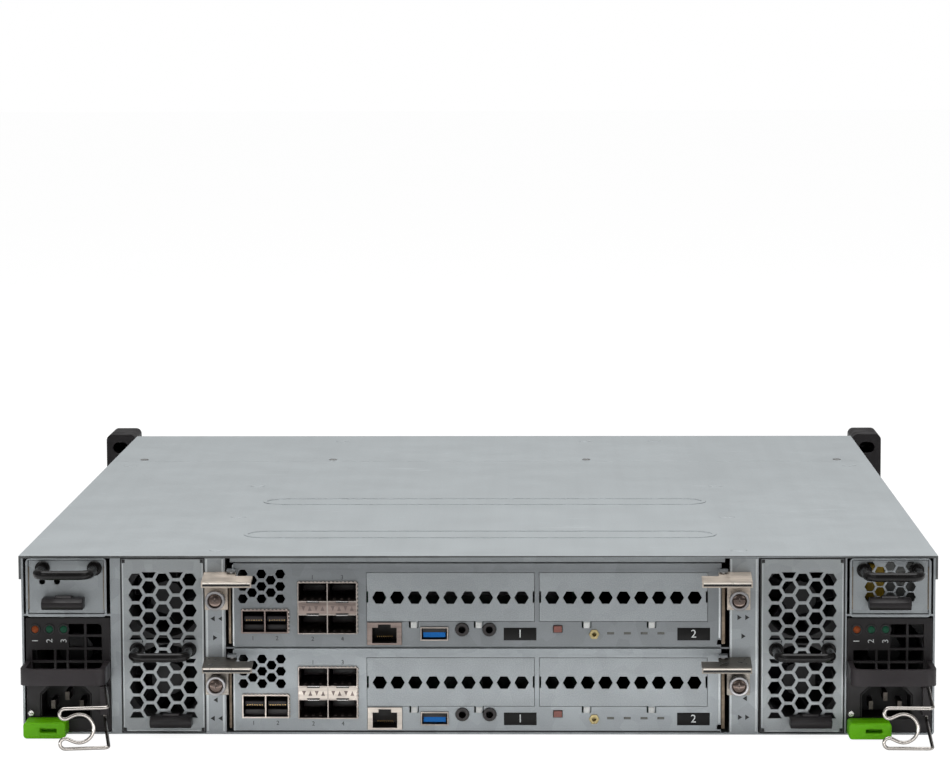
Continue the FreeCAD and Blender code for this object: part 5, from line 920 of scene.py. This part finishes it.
def lever_grip(row, side):
    """Lever with its grip sloping down to the front, and its rolled front edge drawn as two bright rods of
    painted highlight round a dark band of painted reflection.
    """
    node = f"lever_{row}_{side}"
    low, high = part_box(node)
    drop, reach, start, tall = 2.5 * MM, 15.6 * MM, FACE - 1.2 * MM, 3.4 * MM
    solid = bmesh.new()
    solid.from_mesh(NODES[node].data)
    solid.transform(NODES[node].matrix_world)
    for vert in solid.verts:
        share = min(max((start - vert.co.y) / (reach - 1.0 * MM), 0), 1)
        if vert.co.z > high.z - tall - 0.1 * MM:
            squeeze = 0.6 * MM * (high.z - vert.co.z) / tall
            vert.co.z += (squeeze - drop) * share
    piece = Piece(f"lever_grip_{row}_{side}")
    piece.mesh.free()
    piece.mesh = solid
    piece.material("nickel" if row == "upper" else "nickel_dark")
    for face in solid.faces:
        face.material_index = 0
    hem_top, left, right = high.z - drop, low.x, high.x
    front = low.y + 0.5 * MM
    # painted highlights along the rolled front edge
    for z, radius in ((hem_top - 0.6 * MM, 0.62 * MM), (hem_top - 2.5 * MM, 0.3 * MM)):
        points = [Vector((left + radius, front, z)), Vector((right - radius, front, z))]
        piece.join(rod_curve(points, radius, 4), "hem")
    # painted reflection: dark band between the two highlights
    piece.block((left + 0.6 * MM, low.y - 0.06 * MM, hem_top - 2.2 * MM),
                (right - 0.6 * MM, low.y + 0.3 * MM, hem_top - 1.2 * MM), "dark_joints_print_and_shade")
    piece.finish(node, "lever_nickel", node)


# -------- marks and fixings on the frame


def column_arrows():
    """Plain arrow marks printed on the two screw columns."""
    piece = Piece("column_arrows")
    half_long, half_wide = 1.05, 1.3
    for x, z, way in ((-129.0, 57.1, -1), (-125.2, 57.1, -1), (-127.8, 47.7, 1), (-128.0, 16.9, -1),
                      (-129.5, 7.8, -1), (-125.7, 7.8, -1), (127.5, 57.8, 1), (131.3, 57.8, 1),
                      (129.5, 48.6, 1), (130.2, 17.9, -1), (128.0, 8.6, 1), (131.5, 8.6, 1)):
        base = x - half_long * way
        piece.mark([(base, z - half_wide), (base, z + half_wide), (x + half_long * way, z)], 0.03, "dark_joints_print_and_shade")
    piece.finish("root", "sheet_steel")


def cover_dimples():
    """Shallow spot-weld and rivet marks pressed into the roof."""
    piece = Piece("cover_dimples")
    outline = [(0.0, 4.2), (0.12, 3.9), (0.2, 3.0), (0.22, 1.0)]
    for x, back in ((-128, 19), (128, 19), (-128, 136), (128, 136), (-128, 260), (128, 260), (-210, 352),
                    (210, 352), (-93, 473), (57, 473), (100, 473)):
        centre = Vector((x * MM, FACE + back * MM, ROOF - 0.42 * MM))
        piece.lathe(outline, centre, "cover", axis="z", steps=24)
    piece.finish("root", "cover_steel")


def slot_shades():
    """Dark flaps that close the front end of the ears' rack slots."""
    piece = Piece("slot_shades")
    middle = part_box("rack_ears")[1].y - 1.2 * MM
    slot_across, slot_middle, slot_rise = 232.55, 44, 38.1
    half = Vector((4.7, 0.6, 3.3)) * MM
    for side in (-1, 1):
        for step in (-1, 1):
            at = Vector((slot_across * side * MM, middle, (slot_middle + slot_rise * step) * MM))
            piece.block(at - half, at + half, "black", 0.3 * MM)
    piece.finish("root", "black_plastic")


def seams():
    """Painted shade in the gaps round the two fan modules, as wide as it looks there."""
    piece = Piece("module_gap_painted_shade")
    near, far, gap, shade_width = FACE - 0.04 * MM, FACE + 0.6 * MM, 0.15 * MM, 0.55 * MM
    for side in LEFT_RIGHT:
        low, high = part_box(f"fan_module_{side}")
        left, right, under, over = low.x - gap, high.x + gap, low.z - gap, high.z + gap
        for start, end in (((left - shade_width, under - shade_width), (left, over + shade_width)),
                           ((right, under - shade_width), (right + shade_width, over + shade_width)),
                           ((left, under - shade_width), (right, under)), ((left, over), (right, over + shade_width))):
            piece.block((start[0], near, start[1]), (end[0], far, end[1]), "dark_joints_print_and_shade")
    piece.finish("root", "black_plastic")


def fold(piece, x, z, wide, tall, corner, bevel=0.08 * MM):
    """Painted highlight strip along a folded edge, in millimetres from a corner of its sheet."""
    piece.brick(spot(x, z, 0.1, corner), (wide, 0.6, tall), "edge", bevel)


def bright_bends():
    """Painted highlights along the folded edges of the screw columns, the controllers and the fan modules."""
    piece = Piece("column_bend_highlights")
    for left, wide in ((-132.3, 1.0), (-124.4, 0.9), (122.9, 0.9), (135.2, 1.0)):
        fold(piece, left, 1.5, wide, 84.9, ORIGIN)
    piece.finish("root", "sheet_steel")
    for row in UPPER_LOWER:
        piece = Piece(f"controller_bend_highlights_{row}")
        for left, base in ((-119.2, 0.4), (117.4, 4.4)):
            fold(piece, left, base, 0.8, 40.5 - base, SEAT[row])
        piece.finish(f"controller_{row}", "sheet_steel")
    for side in LEFT_RIGHT:
        low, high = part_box(f"fan_module_{side}")
        wide, tall, inset = (high.x - low.x) / MM, (high.z - low.z) / MM, 2.2
        piece = Piece(f"fan_bend_highlights_{side}")
        for left in (0.25, wide - 0.75):
            fold(piece, left, inset, 0.5, tall - 2 * inset, low)
        fold(piece, inset, 0.25, wide - 2 * inset, 0.4, low, bevel=0.0)
        piece.finish(f"fan_{side}", "sheet_steel")


def lower_shade():
    """Dark line between the lower controller and the base."""
    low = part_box("canister_lower")[0]
    piece = Piece("lower_shade")
    piece.brick(Vector((-118.9 * MM, FACE - 0.05 * MM, low.z)), (237.1, 0.25, 0.55), "dark_joints_print_and_shade")
    piece.finish("controller_lower", "black_plastic")


def plate_corners():
    """Painted shade in small notches in the corners of the two fan modules."""
    for side in LEFT_RIGHT:
        piece = Piece(f"plate_corners_{side}")
        low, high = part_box(f"fan_module_{side}")
        for x in (low.x + 0.15 * MM, high.x - 1.65 * MM):
            for z in (low.z + 0.15 * MM, high.z - 1.85 * MM):
                piece.brick(Vector((x, FACE - 0.02 * MM, z)), (1.5, 0.1, 1.7), "dark_joints_print_and_shade")
        piece.finish(f"fan_{side}", "black_plastic")


def vent_winding():
    """Yellow-taped winding seen through the right small module's vents."""
    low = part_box("small_module_right")[0]
    piece = Piece("vent_winding")
    piece.brick(spot(7, 5, -11, low), (9.5, 9, 17.5), "tape", 1.2 * MM)
    piece.finish("small_right", "black_plastic")


def bay_strips():
    """Warm brown gasket strips beside the two small modules."""
    piece = Piece("bay_strips")
    for side in LEFT_RIGHT:
        low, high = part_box(f"small_module_{side}")
        for x in (low.x - 0.35 * MM, high.x - 0.25 * MM):
            corner = Vector((x, FACE - 0.35 * MM, low.z + 2 * MM))
            piece.brick(corner, (0.6, 0.3, 21), "strip", 0.08 * MM)
    piece.finish("root", "sheet_steel")


# -------- room, lights and camera


def stage_material():
    """Pale floor that reads as white to the camera and keeps a soft shadow."""
    finish = Finish("pale_floor", (0.9, 0.9, 0.9), roughness=0.8)
    finish.vary([finish.ramp(finish.noise(3, 3), 0.98, 1.02)])
    tree = finish.tree
    glow = finish.add("Emission", Color=(1, 1, 1, 1), Strength=1.12)
    ray = tree.nodes.new("ShaderNodeLightPath")
    share = operate(tree, "Math", "MULTIPLY", ray.outputs["Is Camera Ray"], 0.85)
    mix = tree.nodes.new("ShaderNodeMixShader")
    for socket, source in zip(mix.inputs, (share, finish.shader, glow)):
        tree.links.new(source.outputs[0], socket)
    tree.links.new(mix.outputs[0], tree.nodes["Material Output"].inputs["Surface"])
    return finish.material


def room():
    """Floor just under the object, and a world that looks white and lights softly."""
    mesh = bpy.data.meshes.new("floor")
    reach, below = 12.0, 0.2 * MM
    corners = [(-reach, -reach, 0), (reach, -reach, 0), (reach, reach, 0), (-reach, reach, 0)]
    mesh.from_pydata(corners, [], [(0, 1, 2, 3)])
    floor = bpy.data.objects.new("floor", mesh)
    floor.location.z = min(cad_box[0].z, 0) - below
    mesh.materials.append(stage_material())
    bpy.context.scene.collection.objects.link(floor)

    world = bpy.data.worlds.new("studio")
    bpy.context.scene.world = world
    world.use_nodes = True
    tree = world.node_tree
    back = tree.nodes["Background"]
    ray = tree.nodes.new("ShaderNodeLightPath").outputs
    seen = operate(tree, "Math", "MAXIMUM", ray["Is Camera Ray"], ray["Is Transmission Ray"])
    strength = tree.nodes.new("ShaderNodeMapRange")
    strength.inputs["To Min"].default_value = WORLD_LEVEL
    strength.inputs["To Max"].default_value = 1.0
    tree.links.new(seen.outputs[0], strength.inputs["Value"])
    tree.links.new(strength.outputs["Result"], back.inputs["Strength"])
    back.inputs["Color"].default_value = (1, 1, 1, 1)


def area_light(name, place, target, wide, tall, power):
    """Rectangular white lamp aimed at a target and hidden from the camera."""
    data = bpy.data.lights.new(name, "AREA")
    data.shape = "RECTANGLE"
    data.size, data.size_y = wide, tall
    data.energy = power
    lamp = bpy.data.objects.new(name, data)
    lamp.location = place
    lamp.rotation_euler = (Vector(target) - Vector(place)).to_track_quat("-Z", "Y").to_euler()
    lamp.visible_camera = False
    bpy.context.scene.collection.objects.link(lamp)


def lights():
    """Lamps overhead and at both sides, and a long low one close to the rear face."""
    area_light("overhead", (0.0, -0.1, 1.9), (0, 0, 0), 2.4, 1.6, 42)
    area_light("front_left", (-1.6, -2.4, 1.3), (0, -0.2, 0.05), 1.4, 1.2, 6)
    area_light("front_right", (1.7, -2.3, 1.1), (0, -0.2, 0.05), 1.4, 1.2, 4.5)
    area_light("low_front", (0.0, FACE - 0.085, 0.0045), (0, FACE, 0.0405), 1.0, 0.0085, 0.105)


def camera():
    """Long lens low behind the connectors, a little right of the middle, looking slightly down."""
    data = bpy.data.cameras.new("camera")
    data.sensor_width = 36.0
    data.lens = 133.74
    data.clip_end = 60
    eye = bpy.data.objects.new("camera", data)
    eye.location = (0.0353, FACE - 1.6964, 0.3457)
    eye.rotation_euler = Euler((math.radians(90 - 5.879), math.radians(0.183), math.radians(1.197)))
    bpy.context.scene.collection.objects.link(eye)
    bpy.context.scene.camera = eye
    bpy.context.scene.view_settings.view_transform = "Standard"


# -------- assembly


def dress_all():
    """Materials of every CAD node."""
    dress_frame()
    for row in UPPER_LOWER:
        dress_controller(row)
        for side in LEFT_RIGHT:
            dress(f"lever_{row}_{side}", "nickel")
            dress(f"thumbscrew_{row}_{side}", "screw")
    for side in LEFT_RIGHT:
        dress_psu(side)
        dress_fans(side)
        dress_small(side)
        dress(f"cord_bail_{side}", "wire")
    dress_trays()


def fit_pieces():
    """Pieces that are added to the solids of the frame or shown in their place."""
    for side in LEFT_RIGHT:
        wire_bail(side)
        status_lights(side)
        psu_marks(side)
        fan_middle = FAN[side].x + 19.95 * MM
        pull_handle(f"fan_handle_{side}", f"fan_{side}", fan_middle, FAN[side].z + 40.65 * MM)
        across, high = {"left": (19.6, 22.2), "right": (18.2, 21.3)}[side]
        small_middle = SMALL[side].x + across * MM
        pull_handle(f"small_handle_{side}", f"small_{side}", small_middle, SMALL[side].z + high * MM)
        softened(f"psu_{side}_tab", "green_plastic", "green", 0.5 * MM)
        for kind in ("fan", "small"):
            softened(f"{kind}_latch_{side}", "black_plastic", "black", 0.45 * MM)
    for row in UPPER_LOWER:
        for fit in (label_plates, gasket_fingers, expansion_tongues, optical_strips, network_contacts,
                    slot_clips, side_strips):
            fit(row)
        for side in LEFT_RIGHT:
            thumbscrew(row, side)
            lever_grip(row, side)
    for fit in (column_arrows, cover_dimples, slot_shades, seams, bright_bends, lower_shade, plate_corners,
                vent_winding, bay_strips):
        fit()


dress_all()
fit_pieces()
room()
lights()
camera()
